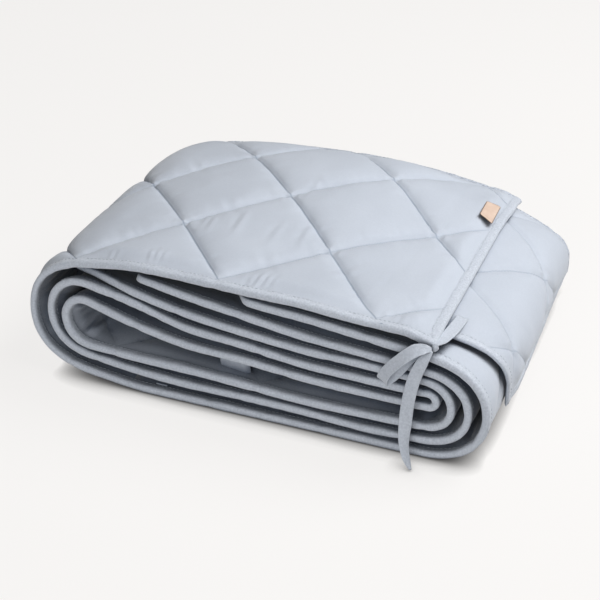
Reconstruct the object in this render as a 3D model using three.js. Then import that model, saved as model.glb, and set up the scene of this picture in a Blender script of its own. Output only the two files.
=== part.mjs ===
// Quilted crib bumper, folded flat and tied with a tape bow.
// Millimetres. +Z is up, +X runs along the folded block and the tied edges face -Y.

import * as THREE from "three";

// Driving sizes of the cloth
const STRIP_WIDTH = 300;
const HALF_WIDTH = STRIP_WIDTH / 2;
const SEAM_HALF = 2.5; // half thickness of the padded cloth along a quilting seam
const BINDING_WIDTH = 8;
const BINDING_TAPE = 0.9;
const GAP = 0.3; // clearance between neighbouring pieces
const BINDING_HALF = SEAM_HALF + GAP + BINDING_TAPE;
const PANEL_INSET = BINDING_TAPE + 2 * GAP; // from the bound edge in to the padded cloth's own edge

// Diamond quilting: half diagonals, and one seam crossing on the top layer
const QUILT_ALONG = 64.31;
const QUILT_ACROSS = 71;
const QUILT_CROSSING_X = 50.5;
const PUFF_SHARPNESS = 0.75;
const PUFF_FADE = 22; // how far from a bound edge the padding reaches its full height

// Tie tape and tag
const TAPE_WIDTH = 10;
const TAPE_THICKNESS = 1.2;
const TAG_SIZE = { long: 30, wide: 13, thick: 1.2 };

// How finely the solid follows the folds
const MAX_BEND = THREE.MathUtils.degToRad(24);
const RUN_SAMPLES = 36;
const TURN_SAMPLES = 14;

// Where the fold's own frame stands in the part's frame, so that the origin is the middle of the footprint
const PLACE = new THREE.Vector3(-13.5, 9.8, 0);

// Columns of the layer tables: places along X
const COLUMNS = [-125, -85, -40, 10, 60, 110, 158];

// One row per layer, from the top down. front: height of the middle of the cloth at the front edge,
// inner: the same behind the front edge, setback: how far the front edge lies behind the block's front,
// puff: padding height on the side that starts outermost and on the other side.
const LAYERS = {
  top: {
    front: [107.5, 112.9, 113.0, 111.6, 110.7, 107.0, 106.0],
    inner: [109.0, 115.5, 119.5, 120.8, 117.5, 109.0, 105.2],
    setback: [0, 0, 0, 0, 0, 0, 0],
    puff: [4.2, 1.0],
    domed: true,
  },
  second: {
    front: [99.0, 104.0, 104.5, 103.1, 102.2, 98.5, 96.5],
    inner: [99.0, 105.0, 109.0, 110.5, 107.3, 98.8, 94.6],
    setback: [66, 70, 68, 62, 56, 46, 30],
    puff: [1.0, 1.2],
    domed: true,
  },
  third: {
    front: [107, 107.0, 105.0, 102.3, 99.6, 94.5, 89.5],
    inner: [97.5, 97.5, 97.0, 96.0, 94.5, 88.6, 84.2],
    setback: [40, 40, 26, 6, 0, 0, 0],
    puff: [1.2, 1.0],
  },
  fourth: {
    front: [104, 103.2, 97.6, 90.2, 83.5, 79.8, 76.0],
    inner: [85.5, 85.5, 86.0, 86.2, 84.5, 78.6, 73.8],
    setback: [6, 4, 0, 0, 0, 0, 0],
    puff: [1.0, 1.0],
  },
  fifth: {
    front: [98.7, 90.0, 81.8, 75.6, 71.3, 70.2, 67.5],
    inner: [84.0, 79.0, 75.5, 75.5, 73.5, 68.4, 63.4],
    setback: [12, 2, 0, 0, 0, 0, 0],
    puff: [1.0, 1.0],
  },
  sixth: {
    front: [89.5, 81.3, 69.0, 64.4, 58.8, 57.5, 57.0],
    inner: [74.0, 69.0, 65.0, 64.5, 60.5, 57.3, 53.0],
    setback: [0, 0, 0, 0, 0, 0, 0],
    puff: [1.0, 1.0],
  },
  seventh: {
    front: [73.5, 61.8, 53.3, 50.9, 46.8, 45.5, 45.5],
    inner: [64.0, 58.5, 53.0, 51.5, 47.5, 44.8, 39.8],
    setback: [0, 0, 0, 0, 0, 0, 0],
    puff: [1.0, 1.6],
  },
  eighth: {
    front: [33.0, 31.0, 30.4, 28.4, 26.0, 26.3, 27.5],
    inner: [33.0, 31.0, 30.0, 28.5, 27.0, 26.5, 27.0],
    setback: [0, 0, 0, 0, 0, 0, 0],
    puff: [1.0, 1.6],
  },
  ninth: {
    front: [24.0, 19.3, 16.9, 17.1, 16.3, 14.0, 15.5],
    inner: [22.0, 19.0, 17.0, 16.5, 15.5, 15.0, 16.0],
    setback: [0, 0, 0, 0, 0, 0, 0],
    puff: [1.0, 1.0],
  },
  bottom: {
    front: [9.0, 4.2, 3.9, 3.8, 3.8, 3.8, 3.8],
    inner: [8.0, 4.2, 3.5, 3.4, 3.4, 3.4, 3.6],
    setback: [0, 0, 0, 0, 0, 0, 0],
    puff: [2.6, 1.0],
  },
};

// One row per turn of the strip: the layers it joins, where it starts along X and how far round it goes.
const TURNS = {
  left_outer: { from: "top", to: "bottom", start: -125, apexX: [-175.3, -177], apexZ: [57, 57] },
  right_outer: { from: "bottom", to: "third", start: 158, apexX: [204.7, 204.7], apexZ: [46, 45] },
  left_tuck: { from: "third", to: "fourth", start: -69, apexX: [-80, -75], apexZ: [104.2, 91.5] },
  right_second: { from: "fourth", to: "ninth", start: 158, apexX: [194, 194], apexZ: [45.5, 45] },
  left_second: { from: "ninth", to: "sixth", start: -125, apexX: [-161, -162], apexZ: [60, 52] },
  right_inmost: { from: "sixth", to: "seventh", start: 162, apexX: [168.5, 168], apexZ: [51, 48] },
  left_inmost: { from: "seventh", to: "eighth", start: -125, apexX: [-148, -149], apexZ: [57, 51] },
  right_third: { from: "eighth", to: "fifth", start: 158, apexX: [180.5, 180.5], apexZ: [46, 45.5] },
  left_upper: { from: "fifth", to: "second", start: -134.5, apexX: [-140, -140], apexZ: [98, 91.4] },
};
const TURN_ROUNDNESS = 0.6;

// The strip's two ends: where the top layer stops, and how the last layer hangs over the right side
const TOP_END_X = 167;
const OVERHANG = { start: 158, apexX: 214.6, apexZ: 50, endX: 213.6, endZ: 30, setback: 50, puff: [1.0, 2.6] };

// Order of the runs and turns along the strip, from the top end to the hanging end
const ROUTE = [
  ["top", TOP_END_X, "left_outer"],
  ["bottom", null, "right_outer"],
  ["third", null, "left_tuck"],
  ["fourth", null, "right_second"],
  ["ninth", null, "left_second"],
  ["sixth", null, "right_inmost"],
  ["seventh", null, "left_inmost"],
  ["eighth", null, "right_third"],
  ["fifth", null, "left_upper"],
  ["second", null, "overhang"],
];

// How the block settles from front to back
const FRONT_BLEND = 45; // the layers reach their inner heights this far behind the front
const DOME_REACH = 150;
const BACK_SINK = { from: 30, over: 115, share: 0.185, power: 2.2, rightShare: 0.1, rightFrom: 120, rightTo: 200 };
const FLOOR_LAYER_Z = 3.6;
const RIGHT_SKEW = { per: 0.07, from: 90, to: 170 };
const END_SKEW = { per: 0.032, from: 165, to: 220 };
const LEFT_SKEW = { per: 0.02, from: -60, to: -125 };

function smooth(from, to, value) {
  const t = THREE.MathUtils.clamp((value - from) / (to - from), 0, 1);
  return t * t * (3 - 2 * t);
}

function lerp(a, b, t) {
  return a + (b - a) * t;
}

// A smooth curve through one table row
function rowAt(row, x) {
  const last = COLUMNS.length - 1;
  let k = 0;
  while (k < last - 1 && x > COLUMNS[k + 1]) k++;
  const slope = (i) => {
    const a = Math.max(0, i - 1);
    const b = Math.min(last, i + 1);
    return (row[b] - row[a]) / (COLUMNS[b] - COLUMNS[a]);
  };
  const span = COLUMNS[k + 1] - COLUMNS[k];
  const t = (x - COLUMNS[k]) / span;
  if (t < 0) return row[0] + slope(0) * (x - COLUMNS[0]);
  if (t > 1) return row[last] + slope(last) * (x - COLUMNS[last]);
  const t2 = t * t;
  const t3 = t2 * t;
  return (
    (2 * t3 - 3 * t2 + 1) * row[k] +
    (t3 - 2 * t2 + t) * span * slope(k) +
    (-2 * t3 + 3 * t2) * row[k + 1] +
    (t3 - t2) * span * slope(k + 1)
  );
}

function innerShare(y, domed) {
  return domed ? smooth(-HALF_WIDTH, DOME_REACH - HALF_WIDTH, y) : smooth(-HALF_WIDTH, FRONT_BLEND - HALF_WIDTH, y);
}

// The stack is thinner at its back edge, where only bound edges lie on each other
function settled(x, z, y) {
  const t = THREE.MathUtils.clamp((y - BACK_SINK.from) / BACK_SINK.over, 0, 2);
  const sink = BACK_SINK.share + BACK_SINK.rightShare * smooth(BACK_SINK.rightFrom, BACK_SINK.rightTo, x);
  const share = 1 - sink * Math.pow(t, BACK_SINK.power);
  return z > FLOOR_LAYER_Z ? FLOOR_LAYER_Z + (z - FLOOR_LAYER_Z) * share : z;
}

function layerHeight(layer, x, y) {
  return lerp(rowAt(layer.front, x), rowAt(layer.inner, x), innerShare(y, layer.domed));
}

function skewed(x, y) {
  const depth = y + HALF_WIDTH;
  const right = RIGHT_SKEW.per * depth * smooth(RIGHT_SKEW.from, RIGHT_SKEW.to, x);
  const atEnd = THREE.MathUtils.clamp((x - END_SKEW.from) / (END_SKEW.to - END_SKEW.from), 0, 1);
  const end = ((END_SKEW.per * depth * depth) / STRIP_WIDTH) * atEnd;
  const left = LEFT_SKEW.per * depth * smooth(LEFT_SKEW.from, LEFT_SKEW.to, x);
  return x - right - end - left;
}

// Place across the strip, kept between the set-back front edge and the back edge
function acrossAt(flat, setback) {
  const inner = HALF_WIDTH - BINDING_WIDTH;
  if (flat <= -inner) return flat + setback;
  if (flat >= inner) return flat;
  return lerp(-inner + setback, inner, (flat + inner) / (2 * inner));
}

function placed(x, y, z) {
  return new THREE.Vector3(skewed(x, y), y, settled(x, z, y));
}

function bezier(a, b, c, d, t) {
  const s = 1 - t;
  return a * s * s * s + 3 * b * s * s * t + 3 * c * s * t * t + d * t * t * t;
}

// A quarter of a turn from a layer's end to the apex
function quarterTurn(layer, startX, apexX, apexZ, y, t) {
  const z0 = layerHeight(layer, startX, y);
  const step = Math.sign(apexX - startX);
  const slope = (layerHeight(layer, startX, y) - layerHeight(layer, startX - step, y)) * step;
  const dx = (apexX - startX) * TURN_ROUNDNESS;
  const dz = (apexZ - z0) * TURN_ROUNDNESS;
  const x = bezier(startX, startX + dx, apexX, apexX, t);
  const z = bezier(z0, z0 + slope * dx, apexZ - dz, apexZ, t);
  return [x, z];
}

// Every sampled place along the strip, as functions of the flat place across it
function routeSamples() {
  const samples = [];
  const add = (make, outer, inner, name) => samples.push({ make, outer, inner, name });
  ROUTE.forEach(([name, startX, turnName], index) => {
    const layer = LAYERS[name];
    const before = index ? TURNS[ROUTE[index - 1][2]] : null;
    const turn = TURNS[turnName];
    const x0 = before ? before.start : startX;
    const x1 = turn ? turn.start : OVERHANG.start;
    for (let i = 0; i < RUN_SAMPLES; i++) {
      const x = lerp(x0, x1, i / RUN_SAMPLES);
      const make = (flat) => {
        const y = acrossAt(flat, rowAt(layer.setback, x));
        return placed(x, y, layerHeight(layer, x, y));
      };
      add(make, layer.puff[0], layer.puff[1], name);
    }
    if (turn) {
      const next = LAYERS[turn.to];
      for (let i = 0; i < 2 * TURN_SAMPLES; i++) {
        const t = i / TURN_SAMPLES;
        const around = t / 2;
        const make = (flat) => {
          const set = lerp(rowAt(layer.setback, turn.start), rowAt(next.setback, turn.start), smooth(0, 1, around));
          const y = acrossAt(flat, set);
          const share = innerShare(y, false);
          const apexX = lerp(turn.apexX[0], turn.apexX[1], share);
          const apexZ = lerp(turn.apexZ[0], turn.apexZ[1], share);
          const [x, z] =
            t < 1
              ? quarterTurn(layer, turn.start, apexX, apexZ, y, t)
              : quarterTurn(next, turn.start, apexX, apexZ, y, 2 - t);
          return placed(x, y, z);
        };
        add(make, lerp(layer.puff[0], next.puff[0], around), lerp(layer.puff[1], next.puff[1], around), turnName);
      }
    } else {
      const turnShare = (t) => lerp(rowAt(layer.setback, OVERHANG.start), OVERHANG.setback, smooth(0, 1, t));
      const puff = (k, t) => lerp(layer.puff[k], OVERHANG.puff[k], smooth(0, 0.5, t));
      for (let i = 0; i <= 2 * TURN_SAMPLES; i++) {
        const t = i / (2 * TURN_SAMPLES);
        const bend = Math.min(1, t / 0.8);
        const drop = Math.max(0, (t - 0.8) / 0.2);
        const make = (flat) => {
          const y = acrossAt(flat, turnShare(t));
          const [x, z] = quarterTurn(layer, OVERHANG.start, OVERHANG.apexX, OVERHANG.apexZ, y, bend);
          return placed(
            x + (OVERHANG.endX - OVERHANG.apexX) * drop,
            y,
            z + (OVERHANG.endZ - OVERHANG.apexZ) * drop,
          );
        };
        add(make, puff(0, t), puff(1, t), "overhang");
      }
    }
  });
  return samples;
}

const SAMPLES = routeSamples();

// Length along the middle of the strip, and bend so far, at each sample
function measureRoute() {
  const middle = SAMPLES.map((s) => s.make(0));
  const along = [0];
  const bend = [0];
  for (let i = 1; i < middle.length; i++) {
    along.push(along[i - 1] + middle[i].distanceTo(middle[i - 1]));
    let turned = 0;
    if (i < middle.length - 1) {
      const a = middle[i].clone().sub(middle[i - 1]);
      const b = middle[i + 1].clone().sub(middle[i]);
      turned = a.angleTo(b);
    }
    bend.push(bend[i - 1] + turned);
  }
  return { middle, along, bend };
}

const MEASURED = measureRoute();
const STRIP_LENGTH = MEASURED.along.at(-1);

function indexAt(list, value) {
  let low = 0;
  let high = list.length - 1;
  while (high - low > 1) {
    const half = (low + high) >> 1;
    if (list[half] <= value) low = half;
    else high = half;
  }
  const span = list[high] - list[low];
  return low + (span > 0 ? (value - list[low]) / span : 0);
}

function valueAt(list, index) {
  const i = Math.min(list.length - 2, Math.max(0, Math.floor(index)));
  return lerp(list[i], list[i + 1], index - i);
}

// The quilting's phase: a seam crossing on the top layer
function lengthAtTopX(x) {
  const i = MEASURED.middle.findIndex((p) => p.x < x);
  const a = MEASURED.middle[i - 1];
  const b = MEASURED.middle[i];
  return lerp(MEASURED.along[i - 1], MEASURED.along[i], (a.x - x) / (a.x - b.x));
}

const CROSSING_AT = lengthAtTopX(QUILT_CROSSING_X);

// Padding height from 0 on the seams to 1 in the middle of a diamond
function puffShare(along, flat) {
  const i = (along - CROSSING_AT) / QUILT_ALONG;
  const j = flat / QUILT_ACROSS + 1;
  const a = Math.abs(Math.sin((Math.PI * (i + j)) / 2));
  const b = Math.abs(Math.sin((Math.PI * (i - j)) / 2));
  const inner = HALF_WIDTH - BINDING_WIDTH;
  const edge = smooth(inner, inner - PUFF_FADE, Math.abs(flat));
  const ends = smooth(BINDING_WIDTH, BINDING_WIDTH + PUFF_FADE, Math.min(along, STRIP_LENGTH - along));
  return Math.pow(a * b, PUFF_SHARPNESS) * edge * ends;
}

// Stations along the strip: every half diamond, and closer together where the strip turns
function stations() {
  const half = QUILT_ALONG / 2;
  const marks = [BINDING_WIDTH];
  for (let s = CROSSING_AT - Math.floor(CROSSING_AT / half) * half; s < STRIP_LENGTH; s += half) {
    if (s > 2 * BINDING_WIDTH && s < STRIP_LENGTH - 2 * BINDING_WIDTH) marks.push(s);
  }
  marks.push(STRIP_LENGTH - BINDING_WIDTH);
  const cost = MEASURED.bend.map((b, i) => b + MEASURED.along[i] * 0.002);
  const list = [];
  marks.slice(0, -1).forEach((mark, k) => {
    const i0 = indexAt(MEASURED.along, mark);
    const i1 = indexAt(MEASURED.along, marks[k + 1]);
    const turned = valueAt(MEASURED.bend, i1) - valueAt(MEASURED.bend, i0);
    const pieces = Math.max(1, Math.ceil(turned / MAX_BEND));
    const c0 = valueAt(cost, i0);
    const c1 = valueAt(cost, i1);
    for (let n = 0; n < pieces; n++) list.push(n ? indexAt(cost, lerp(c0, c1, n / pieces)) : i0);
  });
  list.push(indexAt(MEASURED.along, marks.at(-1)));
  return list;
}

const STATIONS = stations();

// Places across the strip where the solid has points: half diamonds, and both bound edges
const INNER_EDGE = HALF_WIDTH - BINDING_WIDTH;
const HALF_ROWS = Array.from({ length: 9 }, (_, k) => (k - 4) * (QUILT_ACROSS / 2));
const FRONT_ROW = -124; // one more row, where the layers bend down behind the front edge
const PANEL_EDGE = HALF_WIDTH - PANEL_INSET;

function pointAt(index, flat) {
  const i = Math.min(SAMPLES.length - 2, Math.max(0, Math.floor(index)));
  return SAMPLES[i].make(flat).lerp(SAMPLES[i + 1].make(flat), index - i);
}

// Middle of the cloth and its outward direction at one place on the strip
function clothAt(index, flat) {
  const edge = Math.abs(flat) > INNER_EDGE - 1;
  const side = Math.sign(flat);
  const a = edge ? side * INNER_EDGE : flat - 2;
  const b = edge ? side * HALF_WIDTH : flat + 2;
  const across = pointAt(index, Math.max(a, b)).sub(pointAt(index, Math.min(a, b)));
  const near = edge ? side * (HALF_WIDTH - BINDING_WIDTH / 2) : flat;
  const low = Math.max(0, index - 0.7);
  const high = Math.min(SAMPLES.length - 1, index + 0.7);
  const along = pointAt(high, near).sub(pointAt(low, near));
  const out = across.clone().cross(along).normalize();
  return { point: pointAt(index, flat), out, along: along.normalize(), across: across.normalize() };
}

// A closed mesh from rings of points, each ring one section; the ends are closed flat
function ringSolid(rings, capTriangles) {
  const count = rings[0].length;
  const positions = rings.flat().flatMap((p) => [p.x, p.y, p.z]);
  const index = [];
  for (let r = 0; r < rings.length - 1; r++) {
    for (let k = 0; k < count; k++) {
      const a = r * count + k;
      const b = r * count + ((k + 1) % count);
      index.push(a, b, a + count, b, b + count, a + count);
    }
  }
  const last = (rings.length - 1) * count;
  capTriangles.forEach(([a, b, c]) => {
    index.push(a, c, b);
    index.push(last + a, last + b, last + c);
  });
  const geometry = new THREE.BufferGeometry();
  geometry.setAttribute("position", new THREE.Float32BufferAttribute(positions, 3));
  geometry.setIndex(index);
  return geometry;
}

function facingOut(geometry) {
  const p = geometry.getAttribute("position");
  const index = geometry.getIndex();
  const corner = (n) => new THREE.Vector3().fromBufferAttribute(p, index.getX(n));
  let volume = 0;
  for (let n = 0; n < index.count; n += 3) {
    volume += corner(n).dot(corner(n + 1).cross(corner(n + 2)));
  }
  if (volume < 0) {
    for (let n = 0; n < index.count; n += 3) {
      const b = index.getX(n + 1);
      index.setX(n + 1, index.getX(n + 2));
      index.setX(n + 2, b);
    }
  }
  return geometry;
}

// The padded cloth: both quilted faces, with the underside pressed flat on the floor
function stripGeometry() {
  const rows = [-PANEL_EDGE, HALF_ROWS[0], FRONT_ROW, ...HALF_ROWS.slice(1), PANEL_EDGE];
  const ends = [indexAt(MEASURED.along, PANEL_INSET), indexAt(MEASURED.along, STRIP_LENGTH - PANEL_INSET)];
  const list = [ends[0], ...STATIONS, ends[1]];
  const points = [];
  const heights = [];
  list.forEach((index) => {
    const along = valueAt(MEASURED.along, index);
    const sample = SAMPLES[Math.min(SAMPLES.length - 1, Math.round(index))];
    rows.forEach((flat) => {
      const cloth = clothAt(index, flat);
      const share = puffShare(along, flat);
      const outer = cloth.point.clone().addScaledVector(cloth.out, SEAM_HALF + sample.outer * share);
      const inner = cloth.point.clone().addScaledVector(cloth.out, -SEAM_HALF - sample.inner * share);
      outer.z = Math.max(0, outer.z);
      points.push(outer, inner);
      heights.push(share);
    });
  });
  const count = rows.length;
  const at = (r, k, side) => 2 * (r * count + k) + side;
  const index = [];
  const quad = (a, b, c, d, split) => {
    if (split) index.push(a, b, c, a, c, d);
    else index.push(b, c, d, b, d, a);
  };
  for (let r = 0; r < list.length - 1; r++) {
    for (let k = 0; k < count - 1; k++) {
      const middle = puffShare(
        (valueAt(MEASURED.along, list[r]) + valueAt(MEASURED.along, list[r + 1])) / 2,
        (rows[k] + rows[k + 1]) / 2,
      );
      const first = (heights[r * count + k] + heights[(r + 1) * count + k + 1]) / 2;
      const second = (heights[(r + 1) * count + k] + heights[r * count + k + 1]) / 2;
      const split = Math.abs(first - middle) <= Math.abs(second - middle);
      // Along a bound edge the faces are split like the binding around them, so both twist alike
      const nearStart = k === 0 || r === 0;
      const nearEnd = k === count - 2 || r === list.length - 2;
      const outerSplit = nearEnd || (!nearStart && split);
      const innerSplit = !nearEnd && (nearStart || split);
      quad(at(r, k, 0), at(r, k + 1, 0), at(r + 1, k + 1, 0), at(r + 1, k, 0), outerSplit);
      quad(at(r, k, 1), at(r + 1, k, 1), at(r + 1, k + 1, 1), at(r, k + 1, 1), innerSplit);
    }
    const e = count - 1;
    quad(at(r, 0, 0), at(r + 1, 0, 0), at(r + 1, 0, 1), at(r, 0, 1), true);
    quad(at(r, e, 0), at(r, e, 1), at(r + 1, e, 1), at(r + 1, e, 0), true);
  }
  const z = list.length - 1;
  for (let k = 0; k < count - 1; k++) {
    quad(at(0, k, 0), at(0, k, 1), at(0, k + 1, 1), at(0, k + 1, 0), true);
    quad(at(z, k, 0), at(z, k + 1, 0), at(z, k + 1, 1), at(z, k, 1), true);
  }
  const geometry = new THREE.BufferGeometry();
  geometry.setAttribute(
    "position",
    new THREE.Float32BufferAttribute(points.flatMap((p) => [p.x, p.y, p.z]), 3),
  );
  geometry.setIndex(index);
  return geometry;
}

// Section of a binding: depth in from the bound edge and height above the middle of the cloth
const BINDING_SECTION = [
  { depth: BINDING_WIDTH - GAP, height: BINDING_HALF },
  { depth: 0, height: BINDING_HALF - 0.6 },
  { depth: 0, height: 0.6 - BINDING_HALF },
  { depth: BINDING_WIDTH - GAP, height: -BINDING_HALF },
  { depth: BINDING_WIDTH - GAP, height: -SEAM_HALF - GAP },
  { depth: BINDING_TAPE + GAP, height: -SEAM_HALF - GAP },
  { depth: BINDING_TAPE + GAP, height: SEAM_HALF + GAP },
  { depth: BINDING_WIDTH - GAP, height: SEAM_HALF + GAP },
];
const BINDING_CAP = [
  [0, 1, 7],
  [1, 6, 7],
  [1, 2, 6],
  [2, 5, 6],
  [2, 3, 5],
  [3, 4, 5],
];

function longBinding(side) {
  const list = [0, ...STATIONS, SAMPLES.length - 1];
  const rings = list.map((index) => {
    const edge = clothAt(index, side * HALF_WIDTH);
    const inward = pointAt(index, side * INNER_EDGE).sub(edge.point).normalize();
    return BINDING_SECTION.map(({ depth, height }) => {
      const p = edge.point.clone().addScaledVector(inward, depth).addScaledVector(edge.out, height);
      p.z = Math.max(0, p.z);
      return p;
    });
  });
  return ringSolid(rings, BINDING_CAP);
}

// Binding across one end, between the two long bindings
function endBinding(atStart) {
  const edgeIndex = atStart ? 0 : SAMPLES.length - 1;
  const lip = BINDING_WIDTH - GAP;
  const lipIndex = indexAt(MEASURED.along, atStart ? lip : STRIP_LENGTH - lip);
  const stop = INNER_EDGE - GAP;
  const rows = [-stop, ...HALF_ROWS.slice(1, -1), stop];
  const rings = rows.map((flat) => {
    const edge = clothAt(edgeIndex, flat);
    const inside = clothAt(lipIndex, flat);
    return BINDING_SECTION.map(({ depth, height }) => {
      const t = depth / lip;
      const out = edge.out.clone().lerp(inside.out, t).normalize();
      return edge.point.clone().lerp(inside.point, t).addScaledVector(out, height);
    });
  });
  return ringSolid(rings, BINDING_CAP);
}

// A flat tape along a row table: middle of the tape, and the direction of its width
function tapeGeometry(rows, steps, width = TAPE_WIDTH) {
  const curve = new THREE.CatmullRomCurve3(
    rows.map((r) => new THREE.Vector3(r.x, r.y, r.z)),
    false,
    "centripetal",
  );
  const rings = [];
  for (let n = 0; n <= steps; n++) {
    const u = n / steps;
    const k = Math.min(rows.length - 2, Math.floor(u * (rows.length - 1)));
    const t = u * (rows.length - 1) - k;
    const point = curve.getPoint(u);
    const along = curve.getTangent(u);
    const a = new THREE.Vector3(...rows[k].across);
    const b = new THREE.Vector3(...rows[k + 1].across);
    const across = a.normalize().lerp(b.normalize(), t);
    across.addScaledVector(along, -across.dot(along)).normalize();
    const out = across.clone().cross(along).normalize();
    const size = (width * lerp(rows[k].size ?? 1, rows[k + 1].size ?? 1, t)) / 2;
    const corner = (w, h) =>
      point
        .clone()
        .addScaledVector(across, w * size)
        .addScaledVector(out, (h * TAPE_THICKNESS) / 2);
    rings.push([corner(-1, 1), corner(1, 1), corner(1, -1), corner(-1, -1)]);
  }
  return ringSolid(rings, [
    [0, 1, 2],
    [0, 2, 3],
  ]);
}

// Bow at the top layer's front corner, in the fold's frame
const LOOP_ROWS = [
  { x: 160.5, y: -160.5, z: 102.4, across: [-0.3, 0, 0.95] },
  { x: 156, y: -163, z: 101.6, across: [-0.4, 0, 0.9] },
  { x: 150, y: -165.5, z: 97.3, across: [-0.55, 0, 0.83] },
  { x: 143, y: -166.5, z: 90.3, across: [-0.65, 0, 0.76] },
  { x: 136, y: -166.5, z: 81.5, across: [-0.75, 0, 0.66] },
  { x: 131.5, y: -164.5, z: 73, across: [-0.85, 0, 0.5] },
  { x: 130.5, y: -160.5, z: 68.5, across: [-0.85, 0, 0.5] },
  { x: 134.5, y: -157.3, z: 70.5, across: [-0.8, 0, 0.6] },
  { x: 140.5, y: -156, z: 77.5, across: [-0.75, 0, 0.66] },
  { x: 147, y: -155.5, z: 87, across: [-0.75, 0, 0.66] },
  { x: 153.5, y: -155.5, z: 96, across: [-0.75, 0, 0.66] },
  { x: 159.5, y: -156, z: 101.5, across: [-0.6, 0, 0.8] },
];
const TAIL_ROWS = [
  { x: 164.9, y: -158, z: 97.5, across: [1, 0.1, 0.2], size: 0.5 },
  { x: 160.8, y: -161, z: 91, across: [1, 0.1, 0.2], size: 0.9 },
  { x: 155.5, y: -161.5, z: 77, across: [1, 0.1, 0.2] },
  { x: 151.5, y: -162, z: 58, across: [1, 0.1, 0.1] },
  { x: 149.5, y: -162, z: 36, across: [0.9, 0.4, 0] },
  { x: 149.5, y: -163, z: 18, across: [0.6, 0.8, 0], size: 0.9 },
  { x: 153, y: -166, z: 7, across: [0.4, 0.9, 0], size: 0.7 },
  { x: 157.5, y: -170, z: 1.6, across: [0.4, 0.9, 0.1], size: 0.2 },
];
const END_ROWS = [
  { x: 174, y: -152, z: 103.5, across: [1, 0.2, 0], size: 0.6 },
  { x: 176.6, y: -140, z: 103.4, across: [1, 0.2, 0] },
  { x: 176.5, y: -120, z: 100.2, across: [1, 0.1, -0.3] },
  { x: 174.6, y: -95, z: 96.8, across: [1, 0.1, -0.45] },
];
// Tie ends tucked between the layers
const INNER_ROWS = [
  { x: -13, y: -141, z: 43, across: [0, 0, 1] },
  { x: -2, y: -142.5, z: 42, across: [0, 0, 1] },
  { x: 11, y: -141.5, z: 40.5, across: [0, 0, 1] },
  { x: 13, y: -134, z: 40.5, across: [0, 0, 1] },
  { x: 2, y: -131, z: 41.5, across: [0, 0, 1] },
];
const LOWER_ROWS = [
  { x: -65.5, y: -147.5, z: 8.6, across: [1, 0.1, 0] },
  { x: -65.5, y: -141, z: 8.6, across: [1, 0.1, 0] },
  { x: -66, y: -130, z: 8.5, across: [1, 0.1, 0] },
  { x: -68, y: -112, z: 8.4, across: [1, 0.2, 0] },
];
const KNOT = { x: 167, y: -154.25, z: 101, half: [5, 4.2, 5] };
const TAG = { x: 142.2, flat: 60, turn: 0.05, tilt: 0.22, lift: 2.4 };

function knotGeometry() {
  const geometry = new THREE.SphereGeometry(1, 14, 9);
  geometry.scale(...KNOT.half);
  geometry.rotateY(0.5);
  geometry.translate(KNOT.x, KNOT.y, KNOT.z);
  return geometry;
}

function tagGeometry() {
  const geometry = new THREE.BoxGeometry(TAG_SIZE.wide, TAG_SIZE.long, TAG_SIZE.thick);
  const index = indexAt(MEASURED.along, lengthAtTopX(TAG.x));
  const cloth = clothAt(index, TAG.flat);
  const basis = new THREE.Matrix4().makeBasis(cloth.along.clone().negate(), cloth.across, cloth.out);
  const share = puffShare(valueAt(MEASURED.along, index), TAG.flat);
  const rise = SEAM_HALF + LAYERS.top.puff[0] * share + TAG.lift;
  geometry.rotateY(TAG.tilt);
  geometry.rotateZ(TAG.turn);
  geometry.applyMatrix4(basis);
  const at = cloth.point.addScaledVector(cloth.out, rise);
  geometry.translate(at.x, at.y, at.z);
  return geometry;
}

const CLOTH = { color: 0xb9c3cf, roughness: 0.9, metalness: 0 };
const TAPE = { color: 0xb3bdc9, roughness: 0.9, metalness: 0 };
const TAN = { color: 0xdcb79c, roughness: 0.7, metalness: 0 };

const part = new THREE.Group();
part.name = "crib_bumper";

function addPiece(name, geometry, look) {
  const bare = new THREE.BufferGeometry();
  bare.setAttribute("position", geometry.getAttribute("position"));
  bare.setIndex(geometry.getIndex());
  facingOut(bare);
  bare.translate(PLACE.x, PLACE.y, PLACE.z);
  bare.computeVertexNormals();
  const mesh = new THREE.Mesh(bare, new THREE.MeshStandardMaterial(look));
  mesh.name = name;
  part.add(mesh);
}

addPiece("strip", stripGeometry(), CLOTH);
addPiece("binding_front", longBinding(-1), TAPE);
addPiece("binding_back", longBinding(1), TAPE);
addPiece("binding_end_top", endBinding(true), TAPE);
addPiece("binding_end_side", endBinding(false), TAPE);
addPiece("tie_knot", knotGeometry(), TAPE);
addPiece("tie_loop", tapeGeometry(LOOP_ROWS, 28), TAPE);
addPiece("tie_tail", tapeGeometry(TAIL_ROWS, 24), TAPE);
addPiece("tie_end", tapeGeometry(END_ROWS, 12), TAPE);
addPiece("tie_inner", tapeGeometry(INNER_ROWS, 16, TAPE_WIDTH), TAPE);
addPiece("tie_lower", tapeGeometry(LOWER_ROWS, 8), TAPE);
addPiece("tag", tagGeometry(), TAN);

export default part;
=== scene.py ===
"""Quilted crib bumper, folded into a flat stack and tied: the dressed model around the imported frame.

Lengths in the tables are millimetres in the fold's own frame; PLACE and MM carry them into the part's frame.
"""

import math
from types import SimpleNamespace as Values

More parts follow.
